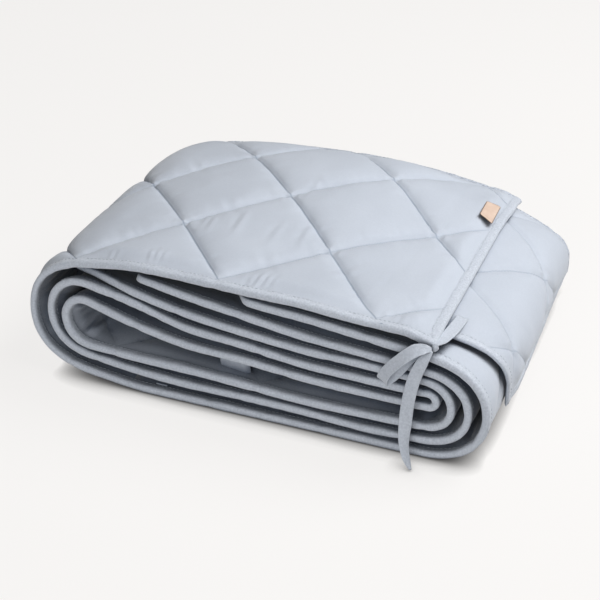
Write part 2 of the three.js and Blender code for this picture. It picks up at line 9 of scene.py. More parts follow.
import bmesh
import bpy
import numpy as np
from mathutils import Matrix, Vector


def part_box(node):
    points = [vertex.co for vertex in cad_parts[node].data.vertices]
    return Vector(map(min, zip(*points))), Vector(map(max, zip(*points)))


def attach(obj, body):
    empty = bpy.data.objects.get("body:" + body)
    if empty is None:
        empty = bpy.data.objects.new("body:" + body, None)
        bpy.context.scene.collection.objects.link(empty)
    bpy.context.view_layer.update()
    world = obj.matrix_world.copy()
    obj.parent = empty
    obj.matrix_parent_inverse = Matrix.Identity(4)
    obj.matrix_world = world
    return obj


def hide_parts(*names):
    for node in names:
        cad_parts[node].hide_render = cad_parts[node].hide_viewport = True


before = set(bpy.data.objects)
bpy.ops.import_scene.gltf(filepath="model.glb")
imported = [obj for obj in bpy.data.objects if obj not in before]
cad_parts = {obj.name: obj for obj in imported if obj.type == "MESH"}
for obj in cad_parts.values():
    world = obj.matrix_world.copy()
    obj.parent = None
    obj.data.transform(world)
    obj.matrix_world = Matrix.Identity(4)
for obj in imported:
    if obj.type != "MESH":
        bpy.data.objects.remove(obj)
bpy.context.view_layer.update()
scene = bpy.context.scene

MM = 0.001
PLACE = np.array([-13.5, 9.8, 0.0])

# Cloth: the strip and its tapes
STRIP_WIDTH = 300.0
HALF_WIDTH = STRIP_WIDTH / 2
SEAM_HALF = 2.5
BINDING_WIDTH = 8.0
INNER_EDGE = HALF_WIDTH - BINDING_WIDTH
PANEL_INSET = 1.5
TAPE_WIDTH = 10.0

# Quilting: half the diamonds' diagonals, a crossing on the top layer, and how far it fades by the bindings
QUILT_ALONG = 64.31
QUILT_ACROSS = 71.0
QUILT_CROSSING_X = 50.5
SEAM_STEP = math.hypot(QUILT_ALONG, QUILT_ACROSS)
SEAM_PITCH = 2 * QUILT_ALONG * QUILT_ACROSS / SEAM_STEP
FRONT_FADE = 13.0
BACK_FADE = 32.0
# Where the diamonds lie further on, in half diagonals: on the hanging end, and around the outer right turn
END_SLIP = Values(along=-1.504, across=-0.275, over=(0.2, 0.9))
TURN_SLIP = Values(along=0.7, coming=(0.3, 0.9), going=(0.9, 0.3))
# Form of the padding in a diamond: its round share, and how far from a seam the rest rises
ROUND_SHARE = 0.38
SHOULDER = 5.8
PUFF_RISE = 1.32

# Fold tables: places along X, then one row per layer from the top down
COLUMNS = np.array([-125, -85, -40, 10, 60, 110, 158], float)
FLUSH = [0] * len(COLUMNS)


def layer_row(front, inner, setback=FLUSH, puff=(1.0, 1.0), domed=False):
    """Heights at the front edge and behind it, how far the edge is set back, and the two faces' padding."""
    return dict(front=front, inner=inner, setback=setback, puff=np.array(puff), domed=domed)


LAYERS = {
    "top": layer_row(
        front=[107.5, 112.9, 113.0, 111.6, 110.7, 107.0, 106.0],
        inner=[109.0, 115.5, 119.5, 120.8, 117.5, 109.0, 105.2],
        puff=(4.2, 1.0), domed=True),
    "second": layer_row(
        front=[99.0, 104.0, 104.5, 103.1, 102.2, 97.6, 95.1],
        inner=[99.0, 105.0, 109.0, 110.5, 107.3, 98.8, 94.6],
        setback=[66, 70, 68, 62, 56, 46, 30], puff=(1.0, 1.2), domed=True),
    "third": layer_row(
        front=[107, 107.0, 105.0, 102.3, 99.6, 94.5, 89.5],
        inner=[97.5, 97.5, 97.0, 96.0, 94.5, 88.6, 84.2],
        setback=[40, 40, 24, 3, 0, 0, 0], puff=(1.2, 1.0)),
    "fourth": layer_row(
        front=[104, 103.2, 97.6, 90.2, 83.5, 79.8, 76.0],
        inner=[85.5, 85.5, 86.0, 86.2, 84.5, 78.6, 73.8],
        setback=[6, 4, 0, 0, 0, 0, 0]),
    "fifth": layer_row(
        front=[97.5, 90.0, 81.8, 75.6, 71.3, 70.2, 67.5],
        inner=[84.0, 79.0, 75.5, 75.5, 73.5, 68.4, 63.4],
        setback=[12, 2, 0, 0, 0, 0, 0]),
    "sixth": layer_row(
        front=[89.5, 81.3, 69.0, 64.4, 58.8, 57.5, 57.0],
        inner=[74.0, 69.0, 65.0, 64.5, 60.5, 57.3, 53.0]),
    "seventh": layer_row(
        front=[73.5, 61.8, 53.3, 50.9, 46.8, 45.5, 45.5],
        inner=[64.0, 58.5, 53.0, 51.5, 47.5, 44.8, 39.8],
        puff=(1.0, 1.6)),
    "eighth": layer_row(
        front=[33.0, 31.0, 30.4, 28.4, 26.0, 26.3, 27.5],
        inner=[33.0, 31.0, 30.0, 28.5, 27.0, 26.5, 27.0],
        puff=(1.0, 1.6)),
    "ninth": layer_row(
        front=[24.0, 19.3, 16.9, 17.1, 16.3, 14.0, 15.5],
        inner=[22.0, 19.0, 17.0, 16.5, 15.5, 15.0, 16.0]),
    "bottom": layer_row(
        front=[9.0, 4.2, 3.9, 3.8, 3.8, 3.8, 3.8],
        inner=[8.0, 4.2, 3.5, 3.4, 3.4, 3.4, 3.6],
        puff=(2.6, 1.0)),
}
# One row per turn: the layers it joins, where it starts along X, its apex at the front edge and behind it
TURNS = {
    "left_outer": dict(joins=("top", "bottom"), start=-125, apex_x=(-177.2, -177.6), apex_z=(57, 57)),
    "right_outer": dict(joins=("bottom", "third"), start=158, apex_x=(208.2, 206.2), apex_z=(46, 45)),
    "left_tuck": dict(joins=("third", "fourth"), start=-76, apex_x=(-88, -83), apex_z=(104.4, 91.5)),
    "right_second": dict(joins=("fourth", "ninth"), start=158, apex_x=(194, 194), apex_z=(45.5, 45)),
    "left_second": dict(joins=("ninth", "sixth"), start=-125, apex_x=(-161, -162), apex_z=(60, 52)),
    "right_inmost": dict(joins=("sixth", "seventh"), start=162, apex_x=(168.5, 168), apex_z=(51, 48)),
    "left_inmost": dict(joins=("seventh", "eighth"), start=-125, apex_x=(-148, -149), apex_z=(57, 51)),
    "right_third": dict(joins=("eighth", "fifth"), start=158, apex_x=(180.5, 180.5), apex_z=(46, 45.5)),
    "left_upper": dict(joins=("fifth", "second"), start=-141, apex_x=(-147, -147), apex_z=(97, 91.4)),
}
TURN_ROUNDNESS = 0.6
TOP_END_X = 167.0
END_PULL = Values(from_x=140.0, drop=3.2, corner_y=-118.0, corner_drop=3.0)
# The hanging end: the share of it that turns down, and the share by which its padding is full
OVERHANG = Values(
    start=158.0, apex_x=214.6, apex_z=50.0, end_x=213.6, end_z=30.0, setback=50.0, puff=np.array([1.0, 2.6]),
    turn_share=0.8, puff_share=0.5)
# Where the third layer's front edge lies deeper, so that it comes out as a small nub
NUB = Values(deep=14.0, out_from=-5.0, out_to=12.0, back_from=-66.0, back_to=-22.0)
FRONT_BLEND = 45.0
DOME_REACH = 150.0
BACK_SINK = Values(start=30.0, over=115.0, share=0.185, power=2.2, right_from=120.0, right_to=200.0)
RIGHT_SINK = dict(top=0.02, second=0.135, other=0.1)
FLOOR_LAYER_Z = 3.6
# Skew of the stack's ends towards its middle, as a share of the depth behind the front edge
RIGHT_SKEW = Values(share=0.07, along=(90.0, 170.0))
END_SKEW = Values(share=0.032, along=(165.0, 220.0))
LEFT_SKEW = Values(share=0.02, along=(-60.0, -125.0))
BACK_CORNER = Values(shift=4.5, along=(130.0, 167.0), across=(95.0, 150.0))
RUN_SAMPLES = 90
TURN_SAMPLES = 44


def smooth(a, b, value):
    t = np.clip((value - a) / (b - a), 0, 1)
    return t * t * (3 - 2 * t)


def lerp(a, b, t):
    return a + (b - a) * t


def bell(value, wide):
    return np.exp(-((value / wide) ** 2))


def unit(v):
    return v / np.maximum(np.linalg.norm(v, axis=-1, keepdims=True), 1e-9)


def lengths_along(line):
    """Length along a line of points, at each point."""
    return np.concatenate([[0], np.cumsum(np.linalg.norm(np.diff(line, axis=0), axis=1))])


def row_at(row, x):
    """A smooth curve through one table row."""
    row = np.asarray(row, float)
    last = len(COLUMNS) - 1
    slope = np.empty_like(row)
    for i in range(last + 1):
        a, b = max(0, i - 1), min(last, i + 1)
        slope[i] = (row[b] - row[a]) / (COLUMNS[b] - COLUMNS[a])
    if x < COLUMNS[0]:
        return row[0] + slope[0] * (x - COLUMNS[0])
    if x > COLUMNS[last]:
        return row[last] + slope[last] * (x - COLUMNS[last])
    k = min(last - 1, int(np.searchsorted(COLUMNS, x, "right")) - 1)
    span = COLUMNS[k + 1] - COLUMNS[k]
    t = (x - COLUMNS[k]) / span
    t2, t3 = t * t, t * t * t
    return (
        (2 * t3 - 3 * t2 + 1) * row[k]
        + (t3 - 2 * t2 + t) * span * slope[k]
        + (-2 * t3 + 3 * t2) * row[k + 1]
        + (t3 - t2) * span * slope[k + 1]
    )


def inner_share(y, domed):
    return smooth(-HALF_WIDTH, (DOME_REACH if domed else FRONT_BLEND) - HALF_WIDTH, y)


def layer_height(layer, x, y):
    return lerp(row_at(layer["front"], x), row_at(layer["inner"], x), inner_share(y, layer["domed"]))


def set_back(name, x):
    """How far a layer's front edge lies behind the stack's front."""
    nub = smooth(NUB.out_to, NUB.out_from, x) * smooth(NUB.back_from, NUB.back_to, x)
    return row_at(LAYERS[name]["setback"], x) + (NUB.deep * nub if name == "third" else 0)


def across_at(flat, setback):
    """Places along Y across the strip: the bindings keep their width, the cloth between them gives way."""
    middle = lerp(-INNER_EDGE + setback, INNER_EDGE, (flat + INNER_EDGE) / (2 * INNER_EDGE))
    return np.where(flat <= -INNER_EDGE, flat + setback, np.where(flat >= INNER_EDGE, flat, middle))


def pulled_down(x, y):
    """The free end of the top layer lies down on the cloth under it, most of all at the tied corner."""
    end = smooth(END_PULL.from_x, TOP_END_X, x)
    corner = smooth(END_PULL.corner_y, -HALF_WIDTH, y)
    return end * (END_PULL.drop + END_PULL.corner_drop * corner)


def settled(x, y, z, right):
    """The stack is thinner at its back edge, by the share given more at its right end."""
    t = np.clip((y - BACK_SINK.start) / BACK_SINK.over, 0, 2)
    sink = BACK_SINK.share + right * smooth(BACK_SINK.right_from, BACK_SINK.right_to, x)
    share = 1 - sink * t ** BACK_SINK.power
    return np.where(z > FLOOR_LAYER_Z, FLOOR_LAYER_Z + (z - FLOOR_LAYER_Z) * share, z)


def skewed(x, y, layer):
    """Places along X: the stack's ends lie askew, and the top layer's back corner is drawn in."""
    depth = y + HALF_WIDTH
    right = RIGHT_SKEW.share * depth * smooth(*RIGHT_SKEW.along, x)
    start, stop = END_SKEW.along
    end = END_SKEW.share * depth * depth / STRIP_WIDTH * np.clip((x - start) / (stop - start), 0, 1)
    left = LEFT_SKEW.share * depth * smooth(*LEFT_SKEW.along, x)
    corner = BACK_CORNER.shift * smooth(*BACK_CORNER.along, x) * smooth(*BACK_CORNER.across, y)
    return x - right - end - left - (corner if layer == "top" else 0)


def placed(x, y, z, layer="other"):
    """Points of the cloth in the settled and skewed stack."""
    x = np.broadcast_to(x, y.shape)
    right = RIGHT_SINK.get(layer, RIGHT_SINK["other"])
    return np.stack([skewed(x, y, layer), y, settled(x, y, z, right)], axis=-1)


def bezier(a, b, c, d, t):
    s = 1 - t
    return a * s ** 3 + 3 * b * s * s * t + 3 * c * s * t * t + d * t ** 3


def quarter_turn(layer, start_x, apex_x, apex_z, y, t):
    """From the end of a layer, level with it, to the upright apex of its turn."""
    z0 = layer_height(layer, start_x, y)
    step = np.sign(np.mean(apex_x) - start_x)
    slope = (z0 - layer_height(layer, start_x - step, y)) * step
    dx = (apex_x - start_x) * TURN_ROUNDNESS
    dz = (apex_z - z0) * TURN_ROUNDNESS
    x = bezier(start_x, start_x + dx, apex_x, apex_x, t)
    z = bezier(z0, z0 + slope * dx, apex_z - dz, apex_z, t)
    return x, z


def run_samples(name, start_x, end_x, flat):
    """Rows of points along one layer, each with its padding and the layer's name."""
    layer = LAYERS[name]
    for i in range(RUN_SAMPLES):
        x = lerp(start_x, end_x, i / RUN_SAMPLES)
        y = across_at(flat, set_back(name, x))
        z = layer_height(layer, x, y)
        if name == "top":
            z = z - pulled_down(x, y)
        yield placed(x, y, z, name), layer["puff"], name


def turn_samples(name, flat):
    """Rows of points around one turn."""
    turn = TURNS[name]
    before, after = (LAYERS[joined] for joined in turn["joins"])
    start_x = turn["start"]
    setbacks = [row_at(layer["setback"], start_x) for layer in (before, after)]
    for i in range(2 * TURN_SAMPLES):
        t = i / TURN_SAMPLES
        y = across_at(flat, lerp(*setbacks, smooth(0, 1, t / 2)))
        share = inner_share(y, False)
        apex_x, apex_z = lerp(*turn["apex_x"], share), lerp(*turn["apex_z"], share)
        layer = before if t < 1 else after
        x, z = quarter_turn(layer, start_x, apex_x, apex_z, y, t if t < 1 else 2 - t)
        yield placed(x, y, z), lerp(before["puff"], after["puff"], t / 2), name


def overhang_samples(name, flat):
    """Rows of points of the end that hangs over the right side."""
    layer = LAYERS[name]
    start_x, apex_x, apex_z = OVERHANG.start, OVERHANG.apex_x, OVERHANG.apex_z
    turn_share = OVERHANG.turn_share
    setback = row_at(layer["setback"], start_x)
    for i in range(2 * TURN_SAMPLES + 1):
        t = i / (2 * TURN_SAMPLES)
        y = across_at(flat, lerp(setback, OVERHANG.setback, smooth(0, 1, t)))
        drop = max(0.0, (t - turn_share) / (1 - turn_share))
        x, z = quarter_turn(layer, start_x, apex_x, apex_z, y, min(1.0, t / turn_share))
        x = x + (OVERHANG.end_x - apex_x) * drop
        z = z + (OVERHANG.end_z - apex_z) * drop
        puff = lerp(layer["puff"], OVERHANG.puff, smooth(0, OVERHANG.puff_share, t))
        yield placed(x, y, z, name), puff, "overhang"


def route(flat):
    """Points of the middle of the cloth: one row of points across the strip for every sample along it."""
    samples = []
    start_x = TOP_END_X
    for name, turn in TURNS.items():
        samples.extend(run_samples(turn["joins"][0], start_x, turn["start"], flat))
        samples.extend(turn_samples(name, flat))
        start_x = turn["start"]
    samples.extend(run_samples("second", start_x, OVERHANG.start, flat))
    samples.extend(overhang_samples("second", flat))
    rows, puffs, names = zip(*samples)
    return np.array(rows), np.array(puffs), names


MIDDLE, PUFFS, NAMES = route(np.array([0.0]))
MIDDLE = MIDDLE[:, 0]
ALONG = lengths_along(MIDDLE)
STRIP_LENGTH = ALONG[-1]
PAST_CROSSING = int(np.argmax(MIDDLE[:, 0] < QUILT_CROSSING_X)) + 2
CROSSING_AT = float(np.interp(-QUILT_CROSSING_X, -MIDDLE[:PAST_CROSSING, 0], ALONG[:PAST_CROSSING]))


def along_of(name, part=0.0):
    """Length along the strip where a named run or turn starts, or a share of the way through it."""
    first = NAMES.index(name)
    last = len(NAMES) - 1 - NAMES[::-1].index(name)
    return float(np.interp(lerp(first, last, part), np.arange(len(ALONG)), ALONG))


def smooth_over(name, parts, along):
    """Rises from 0 to 1 between two shares of the way through a named run or turn."""
    return smooth(along_of(name, parts[0]), along_of(name, parts[1]), along)


def resample(grid, at):
    """Rows of a route grid at the lengths given."""
    index = np.interp(at, ALONG, np.arange(len(ALONG)))
    low = np.clip(np.floor(index).astype(int), 0, len(ALONG) - 2)
    t = (index - low).reshape((-1,) + (1,) * (grid.ndim - 1))
    return grid[low] * (1 - t) + grid[low + 1] * t


# Seeded smooth noise on a plane; the shift sets one use apart from the others
NOISE_SEED = 7
NOISE_SIZE = 256
NOISE_SHIFT = (37.7, 91.3)
NOISE_TABLE = np.random.RandomState(NOISE_SEED).rand(NOISE_SIZE, NOISE_SIZE) * 2 - 1


def noise_corner(a, b):
    return NOISE_TABLE[a % NOISE_SIZE, b % NOISE_SIZE]


def noise(u, v, shift=0.0):
    u, v = np.asarray(u, float) + NOISE_SHIFT[0] * shift, np.asarray(v, float) + NOISE_SHIFT[1] * shift
    iu, iv = np.floor(u).astype(int), np.floor(v).astype(int)
    fu, fv = smooth(0, 1, u - iu), smooth(0, 1, v - iv)
    low = noise_corner(iu, iv) * (1 - fu) + noise_corner(iu + 1, iv) * fu
    high = noise_corner(iu, iv + 1) * (1 - fu) + noise_corner(iu + 1, iv + 1) * fu
    return low * (1 - fv) + high * fv


def two_waves(waves, u, v, shift):
    """The sum of a coarse and a fine wave, each given by its height, its two lengths and its noise shift."""
    return sum(high * noise(u / long, v / wide, shift + more) for high, long, wide, more in waves)


def quilt(along, flat):
    """Padding share, and distance to the nearest seam and place along it, for both seam families."""
    slip = smooth_over("second", END_SLIP.over, along)
    turn = smooth_over("bottom", TURN_SLIP.coming, along) * smooth_over("third", TURN_SLIP.going, along)
    i = (along - CROSSING_AT) / QUILT_ALONG + END_SLIP.along * slip + TURN_SLIP.along * turn
    j = flat / QUILT_ACROSS + 1 + END_SLIP.across * slip
    a, b = (i + j) / 2, (i - j) / 2
    da, db = np.abs(a - np.round(a)), np.abs(b - np.round(b))
    edge = smooth(INNER_EDGE + 1, INNER_EDGE - np.where(flat < 0, FRONT_FADE, BACK_FADE), np.abs(flat))
    ends = smooth(BINDING_WIDTH, BINDING_WIDTH + FRONT_FADE, np.minimum(along, STRIP_LENGTH - along))
    round_form = np.sqrt(np.sin(math.pi * da) * np.sin(math.pi * db))
    da, db = da * SEAM_PITCH, db * SEAM_PITCH
    shoulder = (1 - np.exp(-da / SHOULDER)) * (1 - np.exp(-db / SHOULDER))
    share = lerp(shoulder, round_form, ROUND_SHARE) * edge * ends
    return dict(share=share, a=a, b=b, da=da, db=db, nearest=np.minimum(da, db), held=edge * ends)


# Creases on the top layer: middle along X and Y, length, turn in degrees, width, height
TOP_CREASES = [
    (12, -137, 15, 84, 1.9, 0.68), (18, -135, 18, 80, 2.0, 0.87), (25, -134, 15, 78, 1.9, 0.74),
    (31, -133, 13, 76, 1.8, 0.56), (-75, -133, 14, 98, 1.8, 0.56), (-69.5, -132, 16, 96, 1.8, 0.68),
    (-64, -132, 13, 94, 1.8, 0.56), (-108, -138, 10, 80, 1.8, 0.43), (-102, -137, 10, 84, 1.8, 0.43),
    (-60, -63, 22, 100, 2.4, 0.56), (-53, -68, 26, 98, 2.4, 0.68), (-30, -62, 34, 97, 2.8, 0.74),
    (4, -68, 28, 92, 3.0, 0.50), (26, -60, 34, 96, 3.0, 0.68), (1, 12, 36, 92, 2.8, 0.62),
    (123, -136, 12, 88, 2.0, 0.50), (130, -136, 14, 88, 2.0, 0.62), (137, -135, 13, 90, 2.0, 0.56),
]
# The valley beside a crease: its share of the crease's height, and how many widths away it lies
CREASE_VALLEY = Values(share=0.7, beside=1.7)


def crease_height(x, y):
    total = np.zeros_like(x)
    for middle_x, middle_y, long, degrees, wide, high in TOP_CREASES:
        turn = math.radians(degrees)
        u = (x - middle_x) * math.cos(turn) + (y - middle_y) * math.sin(turn)
        v = -(x - middle_x) * math.sin(turn) + (y - middle_y) * math.cos(turn)
        valley = CREASE_VALLEY.share * bell(v - CREASE_VALLEY.beside * wide, wide)
        total += high * bell(u, long / 2) * (bell(v, wide) - valley)
    return total


# The front edge is pressed flat on the hanging end and the outer left turn: by which share, and where
EDGE_THIN = Values(end=0.42, turn=0.16, reach=25.0, over=(0.7, 0.98), coming=(0.1, 0.35), going=(0.95, 0.7))
THIN_SHIFT = 2.6


def edge_thin(along, flat):
    """Thickness share of the cloth, less than 1 where the front edge is pressed flat."""
    end = smooth_over("second", EDGE_THIN.over, along)
    turn = smooth_over("left_outer", EDGE_THIN.coming, along)
    turn = turn * smooth_over("left_outer", EDGE_THIN.going, along)
    front = smooth(EDGE_THIN.reach - INNER_EDGE, -INNER_EDGE, flat)
    return 1 - (EDGE_THIN.end * end + EDGE_THIN.turn * turn) * front


# Gathers along the seams: height, how far they reach, how far they keep clear, and their waves
GATHER = Values(high=0.75, reach=9.0, clear=1.6, waves=((1.0, 7.0, 26.0, 0), (0.6, 3.6, 20.0, 3)))
# The nip at each seam crossing with the rim around it, the little tuft in it, and the notch beside that
NIP = Values(deep=1.3, wide=4.6, rim=0.7, rim_at=7.5, rim_wide=3.0)
TUFT = Values(rise=3.5, before=1.8, long=3.0, wide=3.2)
NOTCH = Values(deep=1.0, after=6.0, long=4.5, wide=2.2)
# Slack of the cloth between the seams, and gathers along the bindings
SLACK = Values(clear=8.0, waves=((0.6, 34.0, 34.0, 9), (0.28, 13.0, 13.0, 11)))
HEM = Values(high=0.35, reach=7.0, long=5.5, wide=40.0, shift=15)
FACE_SHIFTS = (1.0, 5.0)


def cloth_relief(q, along, flat, side):
    """Small unevenness of one cloth face: gathers along the seams, nips at the crossings, soft slack."""
    shift = FACE_SHIFTS[side]
    gather = np.zeros_like(q["share"])
    for away, run, family in ((q["da"], q["b"], 1), (q["db"], q["a"], 2)):
        wave = two_waves(GATHER.waves, run * SEAM_STEP, away, shift + family)
        gather += GATHER.high * wave * np.exp(-away / GATHER.reach) * (1 - np.exp(-away / GATHER.clear))
    corner = np.hypot(q["da"], q["db"])
    past = (q["a"] - np.round(q["a"])) * SEAM_STEP
    nip = NIP.rim * bell(corner - NIP.rim_at, NIP.rim_wide) - NIP.deep * bell(corner, NIP.wide)
    nip += TUFT.rise * bell(past - TUFT.before, TUFT.long) * bell(q["db"], TUFT.wide)
    nip -= NOTCH.deep * bell(past + NOTCH.after, NOTCH.long) * bell(q["db"], NOTCH.wide)
    slack = two_waves(SLACK.waves, along, flat, shift) * (1 - np.exp(-q["nearest"] / SLACK.clear))
    hem = HEM.high * np.exp(-(INNER_EDGE - np.abs(flat)).clip(0) / HEM.reach)
    hem_gather = hem * noise(along / HEM.long, flat / HEM.wide, shift + HEM.shift)
    return (gather + nip + slack) * q["held"] + hem_gather


# Meshes
def new_object(name, points, quads, uv, attributes=None, seams=None):
    mesh = bpy.data.meshes.new(name)
    co = ((points.reshape(-1, 3) + PLACE) * MM).astype(np.float32)
    quads = np.asarray(quads, np.int32)
    mesh.vertices.add(len(co))
    mesh.vertices.foreach_set("co", co.ravel())
    mesh.loops.add(quads.size)
    mesh.loops.foreach_set("vertex_index", quads.ravel())
    mesh.polygons.add(len(quads))
    mesh.polygons.foreach_set("loop_start", np.arange(0, quads.size, quads.shape[1], dtype=np.int32))
    mesh.polygons.foreach_set("use_smooth", np.ones(len(quads), bool))
    for key, values in (("UVMap", uv), ("Seams", seams)):
        if values is not None:
            layer = mesh.uv_layers.new(name=key)
            layer.data.foreach_set("uv", values.reshape(-1, 2).astype(np.float32)[quads.ravel()].ravel())
    for key, values in (attributes or {}).items():
        mesh.attributes.new(key, "FLOAT", "POINT").data.foreach_set("value", np.asarray(values, np.float32))
    mesh.update(calc_edges=True)
    mesh.validate()
    thing = bpy.data.objects.new(name, mesh)
    scene.collection.objects.link(thing)
    return thing


def ring_quads(count, size, closed_ends=True):
    """Faces of a closed tube of `count` rings of `size` points, whose two halves face each other."""
    r, k = np.meshgrid(np.arange(count - 1), np.arange(size), indexing="ij")
    after = (k + 1) % size
    quads = np.stack([r * size + k, r * size + after, (r + 1) * size + after, (r + 1) * size + k], -1)
    quads = quads.reshape(-1, 4)
    if closed_ends:
        caps = []
        for base, flip in ((0, True), ((count - 1) * size, False)):
            for m in range(size // 2 - 1):
                face = [base + m, base + m + 1, base + size - 2 - m, base + size - 1 - m]
                caps.append(face[::-1] if flip else face)
        quads = np.concatenate([quads, caps])
    return quads


def there_and_back(over, under):
    """Rings of points from the grids of two faces: across the first, and back across the second."""
    return np.concatenate([over, under[:, ::-1]], axis=1)


def outward(thing):
    """Turns the faces round where the closed mesh is inside out."""
    mesh = thing.data
    co = np.empty(len(mesh.vertices) * 3, np.float32)
    mesh.vertices.foreach_get("co", co)
    co = co.reshape(-1, 3).astype(float)
    mesh.calc_loop_triangles()
    corners = np.empty(len(mesh.loop_triangles) * 3, np.int32)
    mesh.loop_triangles.foreach_get("vertices", corners)
    p = co[corners.reshape(-1, 3)]
    if np.einsum("ij,ij->", p[:, 0], np.cross(p[:, 1], p[:, 2])) < 0:
        mesh.flip_normals()
    return thing


def close_ends(thing):
    work = bmesh.new()
    work.from_mesh(thing.data)
    border = [edge for edge in work.edges if edge.is_boundary]
    bmesh.ops.holes_fill(work, edges=border, sides=0)
    work.to_mesh(thing.data)
    work.free()


def dress(thing, look, slot, *nodes):
    thing.data.materials.append(look)
    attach(thing, "root")
    if nodes:
        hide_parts(*nodes)
    return thing


# Material nodes
def material(name, base, roughness, sheen):
    made = bpy.data.materials.new(name)
    made.use_nodes = True
    shader = made.node_tree.nodes["Principled BSDF"]
    shader.inputs["Base Color"].default_value = (*base, 1)
    shader.inputs["Roughness"].default_value = roughness
    shader.inputs["Sheen Weight"].default_value = sheen
    shader.inputs["Sheen Roughness"].default_value = 0.5
    shader.inputs["Specular IOR Level"].default_value = 0.25
    return made, made.node_tree, shader


def node(tree, kind, **inputs):
    made = tree.nodes.new(kind)
    for key, value in inputs.items():
        made.inputs[key.replace("_", " ")].default_value = value
    return made


def texture(tree, vector, kind, **inputs):
    made = node(tree, kind, **inputs)
    tree.links.new(vector, made.inputs["Vector"])
    return made.outputs[0]


def object_place(tree):
    return tree.nodes.new("ShaderNodeTexCoord").outputs["Object"]


def uv_place(tree, name):
    """A UV map, and its two coordinates on their own."""
    place = tree.nodes.new("ShaderNodeUVMap")
    place.uv_map = name
    split = tree.nodes.new("ShaderNodeSeparateXYZ")
    tree.links.new(place.outputs[0], split.inputs[0])
    return place.outputs[0], split.outputs[:2]


def attribute(tree, name):
    made = tree.nodes.new("ShaderNodeAttribute")
    made.attribute_name = name
    return made.outputs["Fac"]


def maths(tree, operation, a, b=None):
    made = tree.nodes.new("ShaderNodeMath")
    made.operation = operation
    for socket, value in zip(made.inputs, (a, b)):
        if value is None:
            continue
        if isinstance(value, (int, float)):
            socket.default_value = value
        else:
            tree.links.new(value, socket)
    return made.outputs[0]


def weighted(tree, *terms):
    """The sum of values, each given with its weight."""
    total = None
    for value, weight in terms:
        part = maths(tree, "MULTIPLY", value, weight)
        total = part if total is None else maths(tree, "ADD", total, part)
    return total


def falling(tree, value, start, stop, top=1.0):
    """A value that falls smoothly from the top to 0 while the one given goes from start to stop."""
    made = node(tree, "ShaderNodeMapRange", From_Min=start, From_Max=stop, To_Min=top, To_Max=0.0)
    made.interpolation_type = "SMOOTHSTEP"
    tree.links.new(value, made.inputs["Value"])
    return made.outputs[0]


def ramp(tree, value, dark, light, start=0.0, stop=1.0):
    """A colour between two, for a value between start and stop."""
    made = tree.nodes.new("ShaderNodeValToRGB")
    for element, position, colour in zip(made.color_ramp.elements, (start, stop), (dark, light)):
        element.position = position
        element.color = (*colour, 1)
    tree.links.new(value, made.inputs[0])
    return made.outputs[0]


def tinted(tree, factor, colour, tint, blend="MULTIPLY"):
    made = tree.nodes.new("ShaderNodeMix")
    made.data_type = "RGBA"
    made.blend_type = blend
    tree.links.new(factor, made.inputs["Factor"])
    tree.links.new(colour, made.inputs["A"])
    made.inputs["B"].default_value = (*tint, 1)
    return made.outputs["Result"]


def bumped(tree, shader, height, strength, distance):
    bump = node(tree, "ShaderNodeBump", Strength=strength, Distance=distance)
    tree.links.new(height, bump.inputs["Height"])
    tree.links.new(bump.outputs[0], shader.inputs["Normal"])


# Painted shade between the layers, darkening the colour: how far it looks for the next layer in metres, how
# open the place is, and its tint
GAP_SHADE = dict(reach=0.045, shut=0.06, open=0.57, tint=(0.085, 0.125, 0.19))
# Stronger painted shade, for the tapes tucked in between the layers
INSIDE_SHADE = dict(GAP_SHADE, shut=0.1, open=0.85)
SHADE_SAMPLES = 8


def shaded(tree, colour, shade=GAP_SHADE):
    """The colour with painted shade, darker where the cloth is shut in between the layers."""
    near = node(tree, "ShaderNodeAmbientOcclusion", Distance=shade["reach"])
    near.samples = SHADE_SAMPLES
    inside = falling(tree, near.outputs["AO"], shade["shut"], shade["open"])
    return tinted(tree, inside, colour, shade["tint"])


# The line in the quilting seams, partly the seam's own darker line and partly painted shade in its groove:
# its edges in millimetres, strength in each family (weaker where the seams run along the light), depth and
# tint
SEAM_LINE_AND_SHADE = Values(full=0.2, gone=1.15, strengths=(0.5, 1.0), sink=5.0, tint=(0.66, 0.7, 0.75))


def seam_line_and_shade(tree):
    """A thin line along both families of quilting seams, from the seam coordinates: partly the seam's own
    darker line, partly painted shade.
    """
    lines = []
    for family, strength in zip(uv_place(tree, "Seams")[1], SEAM_LINE_AND_SHADE.strengths):
        away = maths(tree, "MULTIPLY", maths(tree, "PINGPONG", family, 0.5), SEAM_PITCH)
        lines.append(falling(tree, away, SEAM_LINE_AND_SHADE.full, SEAM_LINE_AND_SHADE.gone, strength))
    return maths(tree, "MULTIPLY", maths(tree, "MAXIMUM", *lines), attribute(tree, "sewn"))


# Weave: scales of the slubs each way, weights in the bump and in the tone, and the ends of the tone
SLUB_SCALES = ((2600, 130, 1), (130, 2600, 1))
WEAVE_BUMP = Values(threads=0.35, slubs=0.9, strength=0.55)
TONE = Values(cloud_scale=16.0, fleck_scale=620.0, clouds_and_flecks=0.75, slubs=0.16, dark=0.3, light=0.75)
COTTON = (0.475, 0.515, 0.58)


